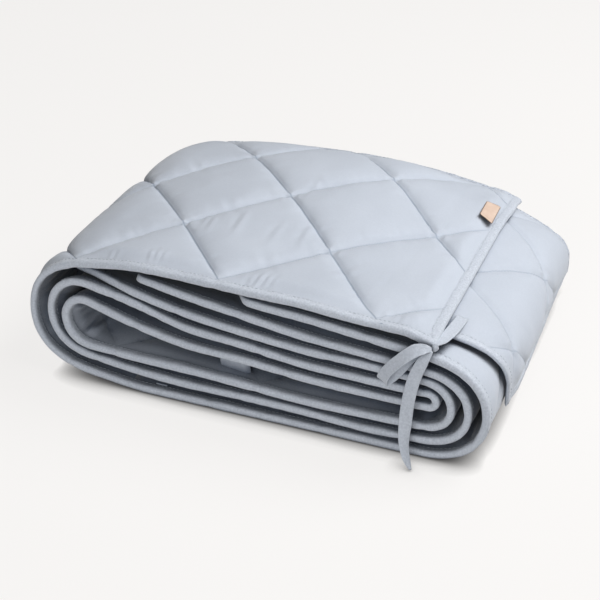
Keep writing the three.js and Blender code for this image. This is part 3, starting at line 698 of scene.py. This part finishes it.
def woven(name, dark, light, thread=0.00055, depth=0.00009, seams=False, flecks=0.3, shade=GAP_SHADE):
    """Plain woven cotton: crossed threads with slubs, soft mottling, painted shade between the layers, and
    where it is quilted a seam line that is partly painted shade.
    """
    made, tree, shader = material(name, COTTON, roughness=0.92, sheen=0.25)
    uv, axes = uv_place(tree, "UVMap")
    lanes = [maths(tree, "SINE", maths(tree, "MULTIPLY", axis, 2 * math.pi / thread)) for axis in axes]
    weave = maths(tree, "MULTIPLY", *lanes)
    slubs = []
    for scale in SLUB_SCALES:
        stretched = texture(tree, uv, "ShaderNodeMapping", Scale=scale)
        slubs.append(texture(tree, stretched, "ShaderNodeTexNoise", Scale=1.0, Detail=2.0))
    slub = maths(tree, "ADD", *slubs)
    height = weighted(tree, (weave, WEAVE_BUMP.threads), (slub, WEAVE_BUMP.slubs))
    if seams:
        line = seam_line_and_shade(tree)
        height = maths(tree, "SUBTRACT", height, maths(tree, "MULTIPLY", line, SEAM_LINE_AND_SHADE.sink))
    bumped(tree, shader, height, WEAVE_BUMP.strength, depth)
    place = object_place(tree)
    cloud = texture(tree, place, "ShaderNodeTexNoise", Scale=TONE.cloud_scale, Detail=3.0)
    fleck = texture(tree, place, "ShaderNodeTexNoise", Scale=TONE.fleck_scale, Detail=3.0, Roughness=0.7)
    clouds = TONE.clouds_and_flecks - flecks
    tone = weighted(tree, (cloud, clouds), (slub, TONE.slubs), (fleck, flecks))
    colour = ramp(tree, tone, dark, light, TONE.dark, TONE.light)
    # The seam line: partly the seam's own darker line, partly painted shade in its groove
    if seams:
        colour = tinted(tree, line, colour, SEAM_LINE_AND_SHADE.tint)
    # Painted shade where the cloth is shut in between the layers
    tree.links.new(shaded(tree, colour, shade), shader.inputs["Base Color"])
    return made


CLOTH = woven("quilted_cotton", (0.43, 0.468, 0.532), (0.52, 0.56, 0.628), seams=True)
BINDING = woven("binding_cotton", (0.33, 0.365, 0.425), (0.62, 0.66, 0.725), thread=0.0006, flecks=0.6)
TAPE_LOOK = dict(
    dark=(0.35, 0.385, 0.445), light=(0.60, 0.64, 0.705), thread=0.0007, depth=0.00014, flecks=0.55)
TAPE = woven("tie_cotton", **TAPE_LOOK)
# The same tape with stronger painted shade, for the tapes tucked in between the layers
TAPE_DEEP_SHADED = woven("tie_cotton_deep_shaded", **TAPE_LOOK, shade=INSIDE_SHADE)


def thread_material():
    made, tree, shader = material("sewing_thread", (0.45, 0.49, 0.56), roughness=0.7, sheen=0.2)
    twist = texture(tree, object_place(tree), "ShaderNodeTexNoise", Scale=900.0, Detail=1.0)
    colour = ramp(tree, twist, dark=(0.4, 0.44, 0.5), light=(0.5, 0.545, 0.61))
    # Painted shade where the thread lies between the layers
    tree.links.new(shaded(tree, colour), shader.inputs["Base Color"])
    return made


def tag_material():
    """Tan grained sheet: its own darker colour at the cut edge, and painted shade on its underside."""
    made, tree, shader = material("tan_tag", (0.6, 0.46, 0.37), roughness=0.62, sheen=0.1)
    place = object_place(tree)
    grain = texture(tree, place, "ShaderNodeTexVoronoi", Scale=1500.0)
    cloud = texture(tree, place, "ShaderNodeTexNoise", Scale=120.0, Detail=4.0)
    bumped(tree, shader, grain, strength=0.35, distance=0.0001)
    colour = ramp(tree, cloud, dark=(0.56, 0.41, 0.32), light=(0.64, 0.5, 0.41), start=0.3, stop=0.7)
    # Darker cut edge in the sheet's own colour, painted shade on the underside
    colour = tinted(tree, attribute(tree, "cut"), colour, (0.12, 0.065, 0.04), blend="MIX")
    tree.links.new(colour, shader.inputs["Base Color"])
    return made


THREAD = thread_material()
TAN = tag_material()

# The padded strip: how it sinks in the seams, lies calm where it is pressed, and wrinkles inside its turns
SEAM_SINK = Values(all_over=0.25, deep=0.8, wide=1.7)
CALM = Values(full_puff=2.6, least=0.35)
WRINKLES = Values(high=2.3, gain=22.0, waves=((1.0, 5.0, 42.0, 0), (0.5, 3.0, 25.0, 2)), shift=51.0)
LEAST_HALF = 1.6
CREASED_TO = (0.4, 0.1)


def strip_stretch(name, stations, rows, sewn):
    """One stretch of the strip between two lengths along it: both quilted faces, closed at its ends."""
    points = resample(route(rows)[0], stations)
    puffs = resample(PUFFS, stations)
    along_dir = np.gradient(points, axis=0)
    out = unit(np.cross(np.gradient(points, axis=1), along_dir))
    bend = np.sum(np.gradient(unit(along_dir), axis=0) * out, axis=-1) / np.gradient(stations)[:, None]
    s, f = np.meshgrid(stations, rows, indexing="ij")
    q = quilt(s, f)
    thin = edge_thin(s, f)
    wrinkles = WRINKLES.high * two_waves(WRINKLES.waves, s, f, WRINKLES.shift) * q["held"]
    sink = (SEAM_SINK.all_over + SEAM_SINK.deep * bell(q["nearest"], SEAM_SINK.wide)) * q["held"]
    faces = []
    for side, sign in ((0, 1.0), (1, -1.0)):
        puff = puffs[:, side][:, None]
        calm = np.clip(puff / CALM.full_puff, CALM.least, 1.0)
        height = SEAM_HALF - sink + puff * PUFF_RISE * q["share"] + calm * cloth_relief(q, s, f, side)
        height = height + np.clip(sign * bend * WRINKLES.gain, 0, 1) * wrinkles
        if side == 0:
            top = smooth_over("left_outer", CREASED_TO, s)
            height = height + top * crease_height(points[..., 0], points[..., 1])
        raised = sign * np.maximum(LEAST_HALF, height) * thin + THIN_SHIFT * (1 - thin)
        face = points + out * raised[..., None]
        face[..., 2] = np.maximum(face[..., 2], 0.0)
        faces.append(face)
    ring = there_and_back(*faces)
    uv = np.stack([s, f], -1) * MM
    seams = np.stack([q["a"], q["b"]], -1)
    return outward(new_object(
        name, ring, ring_quads(len(stations), 2 * len(rows)), uv=there_and_back(uv, uv),
        seams=there_and_back(seams, seams), attributes={"sewn": np.full(ring.size // 3, sewn)}))


def spaced(stops):
    """Lengths along the strip from stop to stop, each stretch with its own step."""
    lengths = []
    for (a, step), (b, _) in zip(stops[:-1], stops[1:]):
        count = max(2, int(round((b - a) / step)))
        lengths.extend(np.linspace(a, b, count, endpoint=False))
    lengths.append(stops[-1][0])
    return np.array(lengths)


# The cloth's mesh is fine beside its long edges, and has one more row under each binding
FINE_EDGE = 60.0
UNDER_BINDING = 3.0


def rows_across(step, middle_step):
    """Places across the strip: one step by the two long edges, another in the middle."""
    fine = INNER_EDGE - FINE_EDGE
    cloth = spaced([(-INNER_EDGE, step), (-fine, middle_step), (fine, step), (INNER_EDGE, step)])
    edge = HALF_WIDTH - PANEL_INSET
    under = INNER_EDGE + UNDER_BINDING
    return np.concatenate([[-edge, -under], cloth, [under, edge]])


# The strip is cut into three stretches; each stop has the step that follows it
CUT_LOW = along_of("bottom", 0.12)
CUT_END = along_of("second", 0.62)
TOP_STOPS = [(PANEL_INSET, 1.75), (along_of("left_outer", 0.75), 4.0), (CUT_LOW, 4.0)]
INNER_STOPS = [
    (CUT_LOW, 9.0), (along_of("bottom", 0.9), 3.0), (along_of("right_outer", 0.05), 2.6),
    (along_of("right_outer", 0.98), 5.0)]
# The steps through each further turn, and after it
TURN_STEPS = dict(
    left_tuck=(2.0, 7.0), right_second=(3.5, 7.0), left_second=(3.5, 7.0), right_inmost=(1.8, 7.0),
    left_inmost=(1.5, 4.5), right_third=(3.5, 7.0), left_upper=(1.6, 9.0))
for name, (through, after) in TURN_STEPS.items():
    INNER_STOPS += [(along_of(name), through), (along_of(name, 1.0), after)]
INNER_STOPS.append((CUT_END, 9.0))
END_STOPS = [(CUT_END, 2.4), (STRIP_LENGTH - PANEL_INSET, 2.4)]
# sewn: how strongly each stretch's seam line, partly painted shade, is drawn
STRETCHES = {
    "strip_top": dict(stops=TOP_STOPS, step=1.8, middle_step=1.8, sewn=1.0),
    "strip_inner": dict(stops=INNER_STOPS, step=3.2, middle_step=9.0, sewn=0.45),
    "strip_end": dict(stops=END_STOPS, step=2.2, middle_step=2.2, sewn=0.6),
}
for name, row in STRETCHES.items():
    across = rows_across(row["step"], row["middle_step"])
    piece = strip_stretch(name, spaced(row["stops"]), across, row["sewn"])
    dress(piece, CLOTH, "quilted_cloth", "strip")

# Bindings: the outside of the folded tape from lip to lip, then the channel that holds the cloth's edge
BINDING_OUTSIDE = [
    (8.0, 2.0), (8.25, 2.45), (8.05, 2.8), (7.5, 3.0), (6.4, 3.1), (4.6, 3.2), (2.6, 3.15), (1.2, 2.8),
    (0.35, 1.9), (0.0, 0.7)]
BINDING_CHANNEL = [(1.25, 0.9), (1.25, 1.6), (1.7, 1.95), (4.5, 2.0), (7.6, 2.0)]
BINDING_SECTION = np.array(
    BINDING_OUTSIDE + [(d, -h) for d, h in BINDING_OUTSIDE[::-1]]
    + [(d, -h) for d, h in BINDING_CHANNEL[::-1]] + BINDING_CHANNEL)
OUTSIDE_COUNT = 2 * len(BINDING_OUTSIDE)
STITCH_DEPTH, STITCH_HEIGHT = 6.7, 3.08
# The tape's rounded tips, its nips at the quilting seams, and its waves, swellings and puckers
TIP = Values(long=4.0, step=0.5, least=0.03)
PINCH = Values(share=0.2, wide=2.6)
EDGE_WAVES = ((0.34, 19.0, 1.0, 1), (0.22, 7.0, 1.0, 2))
SWELL_WAVES = ((0.07, 26.0, 1.0, 3), (0.05, 6.0, 1.0, 4))
PUCKER = Values(high=0.17, slant=1.4, long=3.4, wide=9.0, shift=5.0)


def binding(name, edge, inside, out, along, where, thin, bulk=1.0, nipped=0.0):
    """A binding along points on the edge, with points inside it and the cloth's outward direction.

    Gives the tape, and the two lines that it is sewn along.
    """
    inward = unit(inside - edge)
    shift = THIN_SHIFT * (1 - thin)
    from_tip = np.clip(np.minimum(along - along[0], along[-1] - along) / TIP.long, 0, 1)
    thin = thin * np.sqrt(np.clip(1 - (1 - from_tip) ** 2, TIP.least, 1))
    wave = two_waves(EDGE_WAVES, along, where, 0)
    swell = bulk * thin * (1 + two_waves(SWELL_WAVES, along, where, 0)) * (1 - PINCH.share * nipped)
    rings = []
    for k, (depth, height) in enumerate(BINDING_SECTION):
        side = np.sign(height)
        d, h = np.full(len(edge), depth), height * thin
        if k < OUTSIDE_COUNT:
            slanted = (along + PUCKER.slant * depth * side) / PUCKER.long
            pucker = PUCKER.high * noise(slanted, depth / PUCKER.wide + where, PUCKER.shift)
            d, h = depth + wave * (depth / BINDING_WIDTH), height * swell + side * pucker
        rings.append(edge + inward * d[:, None] + out * (h + shift)[:, None])
    ring = np.stack(rings, axis=1)
    ring[..., 2] = np.maximum(ring[..., 2], 0.0)
    turn = lengths_along(BINDING_SECTION)
    uv = np.stack(np.broadcast_arrays(along[:, None], turn[None, :]), -1) * MM
    quads = ring_quads(len(edge), ring.shape[1], closed_ends=False)
    made = new_object(name, ring, quads, uv)
    close_ends(made)
    sewn = edge + inward * (STITCH_DEPTH + wave * STITCH_DEPTH / BINDING_WIDTH)[:, None]
    lines = [(sewn + out * (sign * STITCH_HEIGHT * swell + shift)[:, None], sign * out) for sign in (1, -1)]
    return outward(made), lines


def tipped(start, stop, step, short=0.0):
    """Places along a tape, close together at both tips, which may end a little short."""
    first, last = start + TIP.long, stop - TIP.long
    return spaced([(start + short, TIP.step), (first, step), (last, TIP.step), (stop - short, TIP.step)])


# The bindings along the strip's two edges, each with its own place in the noise
LONG_STATIONS = tipped(0.0, STRIP_LENGTH, step=2.6)
LONG_PLACE = 3.0
sewing = {}
for name, side in (("binding_front", -1), ("binding_back", 1)):
    points = resample(route(np.array([side * HALF_WIDTH, side * INNER_EDGE]))[0], LONG_STATIONS)
    edge, inside = points[:, 0], points[:, 1]
    out = unit(np.cross((edge - inside) * side, np.gradient((edge + inside) / 2, axis=0)))
    thin = edge_thin(LONG_STATIONS, np.full(len(LONG_STATIONS), side * HALF_WIDTH))
    nearest = quilt(LONG_STATIONS, np.full(len(LONG_STATIONS), side * INNER_EDGE))["nearest"]
    piece, sewing[name] = binding(
        name + "_tape", edge, inside, out, LONG_STATIONS, LONG_PLACE + side, thin,
        nipped=bell(nearest, PINCH.wide))
    dress(piece, BINDING, "binding_tape", name)

# The bindings across the strip's two ends: a little thinner, and just short of its full width
END_BULK = 0.9
END_PLACE = 9.0
END_REACH = BINDING_WIDTH - 0.3
END_SHORT = 0.1
ENDS_ACROSS = tipped(-HALF_WIDTH, HALF_WIDTH, step=2.2, short=END_SHORT)
ENDS = {
    "binding_end_top": dict(edge_at=0.0, inside_at=END_REACH, way=1, long=300.0),
    "binding_end_side": dict(edge_at=STRIP_LENGTH, inside_at=STRIP_LENGTH - END_REACH, way=-1, long=256.0),
}
ends_grid = route(ENDS_ACROSS)[0]
for name, row in ENDS.items():
    edge, inside = resample(ends_grid, np.array([row["edge_at"], row["inside_at"]]))
    out = unit(np.cross(np.gradient((edge + inside) / 2, axis=0), (inside - edge) * row["way"]))
    thin = edge_thin(np.full(len(ENDS_ACROSS), row["edge_at"]), ENDS_ACROSS)
    piece, sewing[name] = binding(
        name + "_tape", edge, inside, out, ENDS_ACROSS + HALF_WIDTH, END_PLACE, thin, bulk=END_BULK)
    dress(piece, BINDING, "binding_tape", name)

# Ties: middle of the tape, the direction of its width, and its share of the full width
LOOP_ROWS = [
    (166.2, -156.6, 101.2, (-0.2, 0.5, 0.9), 0.35), (161.5, -160.2, 102.4, (-0.2, 0.62, 0.8), 0.8),
    (156, -163, 101.3, (-0.3, 0.62, 0.8), 1), (150, -165.5, 97, (-0.45, 0.62, 0.75), 1),
    (143, -166.5, 90, (-0.55, 0.6, 0.7), 1), (136, -166.5, 81.5, (-0.7, 0.5, 0.62), 1),
    (131.5, -164.5, 73, (-0.85, 0.25, 0.5), 1), (130.5, -160.5, 68.5, (-0.85, 0, 0.5), 1),
    (134.5, -157.3, 70.5, (-0.8, 0, 0.6), 1), (140.5, -156, 77.5, (-0.75, 0, 0.66), 1),
    (147, -155.5, 87, (-0.75, 0, 0.66), 1), (153.5, -155.5, 95, (-0.75, 0, 0.66), 0.9),
    (159.5, -156, 99.5, (-0.6, 0, 0.8), 0.6), (165, -155.4, 100.4, (-0.5, 0, 0.8), 0.35),
]
TAIL_ROWS = [
    (166, -156, 100, (1, 0.1, 0.2), 0.35), (164, -158.6, 96.5, (1, 0.1, 0.2), 0.6),
    (160.8, -161, 91, (1, 0.1, 0.2), 0.9), (155.5, -161.5, 77, (1, 0.15, 0.2), 1),
    (151.5, -162, 58, (1, 0.1, 0.1), 1), (149.5, -162, 36, (0.9, 0.4, 0), 1),
    (149.5, -163, 18, (0.6, 0.8, 0), 0.9), (153, -166, 7, (0.4, 0.9, 0), 0.7),
    (157.5, -170, 1.6, (0.4, 0.9, 0.1), 0.2),
]
END_ROWS = [
    (166.4, -149, 101.2, (1, 0.1, -0.15), 0.4), (168.4, -140, 100.6, (1, 0.05, -0.14), 0.9),
    (169.6, -120, 98.6, (1, 0, -0.16), 1), (169.6, -95, 96.9, (1, 0, -0.2), 0.95),
]
INNER_ROWS = [
    (-16, -135.5, 38.2, (0, -0.3, 1), 1), (-5, -136.3, 37.2, (0, -0.3, 1), 1),
    (6.3, -136, 36, (0, -0.3, 1), 1), (8.6, -133.6, 35.9, (0, -0.3, 1), 1),
    (6, -131.4, 36.2, (0, -0.2, 1), 1), (-4, -130, 37, (0, -0.1, 1), 1),
]
LOWER_ROWS = [
    (-65.5, -143.5, 8.2, (1, 0.1, 0), 1), (-65.5, -138, 8.4, (1, 0.1, 0), 1),
    (-66, -130, 8.5, (1, 0.1, 0), 1), (-68, -112, 8.4, (1, 0.2, 0), 1),
]
TIES = {
    "tie_loop": dict(rows=LOOP_ROWS, steps=110, curl=0.25, seed=20.0, held="gathered", look=TAPE),
    "tie_tail": dict(rows=TAIL_ROWS, steps=90, curl=0.35, seed=21.0, held="hung", look=TAPE),
    "tie_end": dict(rows=END_ROWS, steps=50, curl=0.3, seed=22.0, held="laid", look=TAPE),
    "tie_inner": dict(rows=INNER_ROWS, steps=70, curl=0.2, seed=23.0, held="folded", look=TAPE_DEEP_SHADED),
    "tie_lower": dict(rows=LOWER_ROWS, steps=30, curl=0.1, seed=24.0, held="laid", look=TAPE_DEEP_SHADED),
}
# Section of the folded and stitched tape: place across its half width, and half its thickness
TAPE_ACROSS = np.array([-1.0, -0.94, -0.82, -0.68, -0.5, -0.25, 0.0, 0.25, 0.5, 0.68, 0.82, 0.94, 1.0])
TAPE_HALF = np.array([0.12, 0.42, 0.5, 0.4, 0.48, 0.5, 0.5, 0.5, 0.48, 0.4, 0.5, 0.42, 0.12])
RIPPLE = Values(high=0.22, long=9.0, across=1.3)
CURL_LEVEL = 0.4


def curve_point(points, u):
    """Centripetal curve through the points, at u from 0 to 1."""
    last = len(points) - 1
    place = u * last
    k = min(int(place), last - 1)
    w = place - k
    p1, p2 = points[k], points[k + 1]
    p0 = points[k - 1] if k > 0 else 2 * points[0] - points[1]
    p3 = points[k + 2] if k + 2 <= last else 2 * points[last] - points[last - 1]
    d0, d1, d2 = (max(1e-4, np.linalg.norm(b - a) ** 0.5) for a, b in ((p0, p1), (p1, p2), (p2, p3)))
    t1 = ((p1 - p0) / d0 - (p2 - p0) / (d0 + d1) + (p2 - p1) / d1) * d1
    t2 = ((p2 - p1) / d1 - (p3 - p1) / (d1 + d2) + (p3 - p2) / d2) * d1
    return p1 + t1 * w + (-3 * p1 + 3 * p2 - 2 * t1 - t2) * w ** 2 + (2 * p1 - 2 * p2 + t1 + t2) * w ** 3


def tape_frames(rows, steps):
    """Points along a tape's middle, the directions across it and out of it, and its share of the width."""
    points = [np.array(row[:3], float) for row in rows]
    sides = [unit(np.array(row[3], float)) for row in rows]
    middle, across, size = [], [], []
    for n in range(steps + 1):
        u = n / steps
        k = min(len(rows) - 2, int(u * (len(rows) - 1)))
        t = u * (len(rows) - 1) - k
        middle.append(curve_point(points, u))
        across.append(lerp(sides[k], sides[k + 1], t))
        size.append(lerp(rows[k][4], rows[k + 1][4], t))
    middle, across, size = np.array(middle), np.array(across), np.array(size)
    along = unit(np.gradient(middle, axis=0))
    across = unit(across - along * np.sum(across * along, axis=1, keepdims=True))
    return middle, across, unit(np.cross(across, along)), size


def tape(name, rows, steps, curl, seed):
    """A tape through its rows, and its length."""
    middle, across, out, size = tape_frames(rows, steps)
    length = lengths_along(middle)
    half = TAPE_WIDTH / 2 * size
    ripple = RIPPLE.high * noise(
        length[:, None] / RIPPLE.long, TAPE_ACROSS[None, :] * RIPPLE.across, seed)
    bow = curl * (TAPE_ACROSS[None, :] ** 2 - CURL_LEVEL) + ripple
    base = middle[:, None] + across[:, None] * (half[:, None] * TAPE_ACROSS)[..., None]
    faces = [base + out[:, None] * (bow + sign * TAPE_HALF[None, :])[..., None] for sign in (1, -1)]
    ring = there_and_back(*faces)
    uv = np.stack(np.meshgrid(length, TAPE_ACROSS * TAPE_WIDTH / 2, indexing="ij"), -1) * MM
    quads = ring_quads(len(middle), ring.shape[1])
    made = new_object(name, ring, quads, there_and_back(uv, uv))
    return outward(made), float(length[-1])


# Knot: one turn of the tape, around the gathered tapes; half widths and radii of its outside and its inside
KNOT = Values(
    at=np.array([167.2, -151.4, 100.2]), axis=unit(np.array([0.75, 0.1, 0.45])), steps=48,
    half=2.9, radius=2.6, crown=0.9, inner_half=2.2, inner_radius=0.25)
KNOT_FORM = Values(narrow=0.95, lean=0.7, lean_from=0.6, pinch=0.1, ripple=0.12)
KNOT_SPREAD = np.array([-1.0, -0.8, -0.45, 0.0, 0.45, 0.8, 1.0])
KNOT_UV = Values(radius=3.75, around=14.0)


def knot_turn():
    at, axis, steps = KNOT.at, KNOT.axis, KNOT.steps
    side = unit(np.cross(axis, [0, 0, 1.0]))
    up = np.cross(side, axis)
    angle = np.linspace(0, 2 * math.pi, steps, endpoint=False)
    rings = []
    for a in angle:
        radial = side * math.cos(a) * KNOT_FORM.narrow + up * math.sin(a)
        lean = KNOT_FORM.lean * math.sin(a + KNOT_FORM.lean_from)
        pinch = 1 - KNOT_FORM.pinch * math.cos(2 * a)
        ring = []
        for w in KNOT_SPREAD:
            ripple = KNOT_FORM.ripple * math.sin(3 * a + 4 * w)
            radius = (KNOT.radius - KNOT.crown * w * w + ripple) * pinch
            ring.append(at + axis * (w * KNOT.half + lean) + radial * radius)
        for w in KNOT_SPREAD[::-1]:
            ring.append(at + axis * (w * KNOT.inner_half + lean) + radial * KNOT.inner_radius)
        rings.append(ring)
    ring = np.array(rings)
    size = ring.shape[1]
    quads = ring_quads(steps + 1, size, closed_ends=False) % (steps * size)
    around = np.linspace(0, KNOT_UV.around, size)
    uv = np.stack(np.meshgrid(angle * KNOT_UV.radius, around, indexing="ij"), -1) * MM
    return outward(new_object("tie_knot_turn", ring, quads, uv))


tapes = {}
for name, row in TIES.items():
    tapes[name] = tape(name + "_tape", row["rows"], row["steps"], row["curl"], row["seed"])
    dress(tapes[name][0], row["look"], "binding_tape", name)
knot = knot_turn()
dress(knot, TAPE, "binding_tape", "tie_knot")

# Tag: a bare folded label, a little lifted at its front end; the cloth at the place given sets its directions
TAG = Values(long=37.0, wide=13.0, half=0.42, back=0.6, lift=0.8, turn=0.05, tilt=0.12)
TAG_PLACE = Values(x=142.2, flat=60.0, probe=2.0)
TAG_GRID = (15, 29)
# Its outline is askew and has cut corners, and it bows across, curls up at its front and rises on one side
TAG_OUTLINE = Values(slant=1.6, taper=3.6, cut=0.05, cut_wide=0.8, cut_long=0.9)
TAG_BOW = Values(across=0.33, curl=0.5, curl_from=0.55, curl_power=1.5, ripple=0.08, ripple_shift=40.0)
TAG_RISE = Values(high=0.5, side=1.1, start=0.2, power=1.3)
# Its edge: how the tag thins at its rim, the rim in the sheet's own darker cut-edge colour, and the share of
# painted shade on its underside
TAG_EDGE = Values(level=1.25, power=12, least=0.3, rim=0.99, under=0.8)
TAG_UV = 0.01


def beyond(value, start):
    """How far a value from 0 to 1 is past the start, as a share of what is left."""
    return np.clip((np.abs(value) - start) / (1 - start), 0, 1)


def tag_axes():
    """Directions of the tag's width, its length and its upper face, from the cloth under it."""
    grid = route(TAG_PLACE.flat + TAG_PLACE.probe * np.array([-1.0, 0.0, 1.0]))[0]
    spot = int(np.argmax(grid[:, 1, 0] < TAG_PLACE.x))
    along = unit(grid[spot + 1, 1] - grid[spot - 1, 1])
    across = unit(grid[spot, 2] - grid[spot, 0])
    out = unit(np.cross(across, along))
    leaning = -along * math.cos(TAG.tilt) - out * math.sin(TAG.tilt)
    wide = math.cos(TAG.turn) * leaning + math.sin(TAG.turn) * across
    long = math.sin(TAG.turn) * along + math.cos(TAG.turn) * across
    return wide, long, unit(np.cross(wide, long))


def tag_label():
    low, high = (np.array(corner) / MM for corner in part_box("tag"))
    middle = (low + high) / 2 - PLACE
    wide, long, normal = tag_axes()
    u, v = np.meshgrid(*(np.linspace(-1, 1, count) for count in TAG_GRID), indexing="ij")
    corner = 1 - TAG_OUTLINE.cut * beyond(v, TAG_OUTLINE.cut_long) * beyond(u, TAG_OUTLINE.cut_wide)
    front = (1 - v) / 2
    slant = TAG_OUTLINE.slant * front * u + TAG_OUTLINE.taper * (1 - front) * (1 - u) / 2
    curl = TAG_BOW.curl * np.clip(-v - TAG_BOW.curl_from, 0, 1) ** TAG_BOW.curl_power
    ripple = TAG_BOW.ripple * noise(u * 2, v * 4, TAG_BOW.ripple_shift)
    rise = TAG_RISE.high * (TAG_RISE.side - u) * beyond(front, TAG_RISE.start) ** TAG_RISE.power
    bow = TAG_BOW.across * (1 - u ** 2) + curl + ripple + rise + TAG.lift
    edge = np.maximum(np.abs(u), np.abs(v))
    half = TAG.half * np.clip(TAG_EDGE.level - edge ** TAG_EDGE.power, TAG_EDGE.least, 1)
    base = middle + wide * (u * corner * TAG.wide / 2)[..., None]
    base = base + long * (v * corner * TAG.long / 2 + TAG.back - slant)[..., None]
    ring = there_and_back(*(base + normal * (bow + sign * half)[..., None] for sign in (1, -1)))
    uv = np.stack([u, v], -1) * TAG_UV
    # The cut rim gets its own darker colour; the underside gets painted shade
    rim = (edge > TAG_EDGE.rim) * 1.0
    dark = there_and_back(rim, np.maximum(rim, TAG_EDGE.under))
    quads = ring_quads(TAG_GRID[0], 2 * TAG_GRID[1])
    return outward(new_object("tag_label", ring, quads, there_and_back(uv, uv), {"cut": dark.ravel()}))


tag = tag_label()
dress(tag, TAN, "tan_tag", "tag")

# Stitches: short raised threads along a line of points; a stitch's rings, with their girth and rise
STITCH = Values(long=2.6, gap=0.9, radius=0.24)
STITCH_ALONG = np.array([0.0, 0.22, 0.78, 1.0])
STITCH_GIRTH = np.array([0.3, 1.0, 1.0, 0.3])
STITCH_RISE = np.array([-0.12, 0.08, 0.08, -0.12])
RING_TURNS = [(1, 0), (0, 1), (-1, 0), (0, -1)]


def stitches(name, lines):
    sides, rings = len(RING_TURNS), len(STITCH_ALONG)
    girth = (STITCH.radius * STITCH_GIRTH)[None, :, None]
    blocks, uvs = [], []
    for line, normal in lines:
        length = lengths_along(line)
        starts = np.arange(STITCH.gap, length[-1] - STITCH.long, STITCH.long + STITCH.gap)
        at = starts[:, None] + STITCH.long * STITCH_ALONG
        spot, up = (
            np.stack([np.interp(at, length, rows[:, c]) for c in range(3)], -1) for rows in (line, normal))
        up = unit(up)
        side = np.cross(up, unit(spot[:, -1:] - spot[:, :1]))
        rise = STITCH_RISE[None, :, None]
        ring = [spot + up * (rise + girth * high) + side * girth * wide for wide, high in RING_TURNS]
        blocks.append(np.stack(ring, axis=2).reshape(-1, 3))
        around = np.tile(np.arange(sides) * STITCH.radius, at.size)
        uvs.append(np.stack([np.repeat(at.ravel(), sides), around], -1))
    points = np.concatenate(blocks)
    points[:, 2] = np.maximum(points[:, 2], 0.0)
    first_points = np.arange(0, len(points), rings * sides)
    quads = (first_points[:, None, None] + ring_quads(rings, sides)).reshape(-1, 4)
    return outward(new_object(name, points, quads, np.concatenate(uvs) * MM))


for name, lines in sewing.items():
    dress(stitches(name + "_stitches", lines), THREAD, "binding_tape")

# Floor: pale, with a glow of its own that is dimmed close to the object as a painted contact shadow; sizes in
# metres
FLOOR_HALF = 4.0
FLOOR_GLOW = Values(colour=(1.0, 0.985, 0.972, 1), all_rays=0.4, camera=0.42, near=0.017, dimming=1.5)


def floor_material():
    made, tree, shader = material("pale_floor", (0.1, 0.098, 0.096), roughness=0.9, sheen=0.0)
    cloud = texture(tree, object_place(tree), "ShaderNodeTexNoise", Scale=3.0)
    colour = ramp(tree, cloud, dark=(0.098, 0.096, 0.094), light=(0.102, 0.1, 0.098))
    tree.links.new(colour, shader.inputs["Base Color"])
    # Painted contact shadow: the glow is dimmed where the object is near
    near = node(tree, "ShaderNodeAmbientOcclusion", Distance=FLOOR_GLOW.near)
    ray = tree.nodes.new("ShaderNodeLightPath")
    seen = maths(tree, "MULTIPLY", ray.outputs["Is Camera Ray"], FLOOR_GLOW.camera)
    painted_contact_shadow = maths(tree, "POWER", near.outputs["AO"], FLOOR_GLOW.dimming)
    glow = maths(tree, "MULTIPLY", painted_contact_shadow, maths(tree, "ADD", seen, FLOOR_GLOW.all_rays))
    tree.links.new(glow, shader.inputs["Emission Strength"])
    shader.inputs["Emission Color"].default_value = FLOOR_GLOW.colour
    return made


floor_mesh = bpy.data.meshes.new("floor")
floor_corners = [(FLOOR_HALF * x, FLOOR_HALF * y, 0) for x, y in ((-1, -1), (1, -1), (1, 1), (-1, 1))]
floor_mesh.from_pydata(floor_corners, [], [(0, 1, 2, 3)])
floor_mesh.materials.append(floor_material())
floor = bpy.data.objects.new("floor", floor_mesh)
scene.collection.objects.link(floor)

# Sky and lights
world = scene.world or bpy.data.worlds.new("World")
scene.world = world
world.use_nodes = True
sky = world.node_tree.nodes["Background"]
sky.inputs["Color"].default_value = (1.0, 0.99, 0.98, 1)
sky.inputs["Strength"].default_value = 0.1
scene.view_settings.view_transform = "Standard"

CENTRE = Vector((PLACE[0], PLACE[1], 50.0)) * MM
# One row per light: direction from the object, distance and size in metres, watts
LIGHTS = {
    "key_side": dict(way=(0.48, -0.05, 0.87), far=1.5, size=1.0, watts=10.6),
    "key_back": dict(way=(0.56, 0.45, 0.78), far=1.6, size=1.0, watts=20.2),
    "front": dict(way=(0.16, -1.0, 0.22), far=1.8, size=1.3, watts=16.5),
}
for name, row in LIGHTS.items():
    lamp = bpy.data.lights.new(name, "AREA")
    lamp.shape = "DISK"
    lamp.size = row["size"]
    lamp.energy = row["watts"]
    holder = bpy.data.objects.new(name, lamp)
    way = Vector(row["way"]).normalized()
    holder.location = CENTRE + way * row["far"]
    holder.rotation_euler = (-way).to_track_quat("-Z", "Y").to_euler()
    scene.collection.objects.link(holder)

# Camera: angles in degrees, distance, lens and sensor in millimetres, shift in pixels of the image's width
CAMERA = Values(
    azimuth=23.1, elevation=28.1, far=1559.0, lens=110.7, sensor=36.0, shift=(-6.5, -23.3), image=600.0)
camera = bpy.data.objects.new("camera", bpy.data.cameras.new("camera"))
azimuth, elevation = math.radians(CAMERA.azimuth), math.radians(CAMERA.elevation)
level = math.cos(elevation)
back = Vector((math.sin(azimuth) * level, -math.cos(azimuth) * level, math.sin(elevation)))
camera.location = CENTRE + back * CAMERA.far * MM
camera.rotation_euler = (-back).to_track_quat("-Z", "Y").to_euler()
camera.data.sensor_width = CAMERA.sensor
camera.data.lens = CAMERA.lens
camera.data.shift_x = CAMERA.shift[0] / CAMERA.image
camera.data.shift_y = CAMERA.shift[1] / CAMERA.image
scene.collection.objects.link(camera)
scene.camera = camera
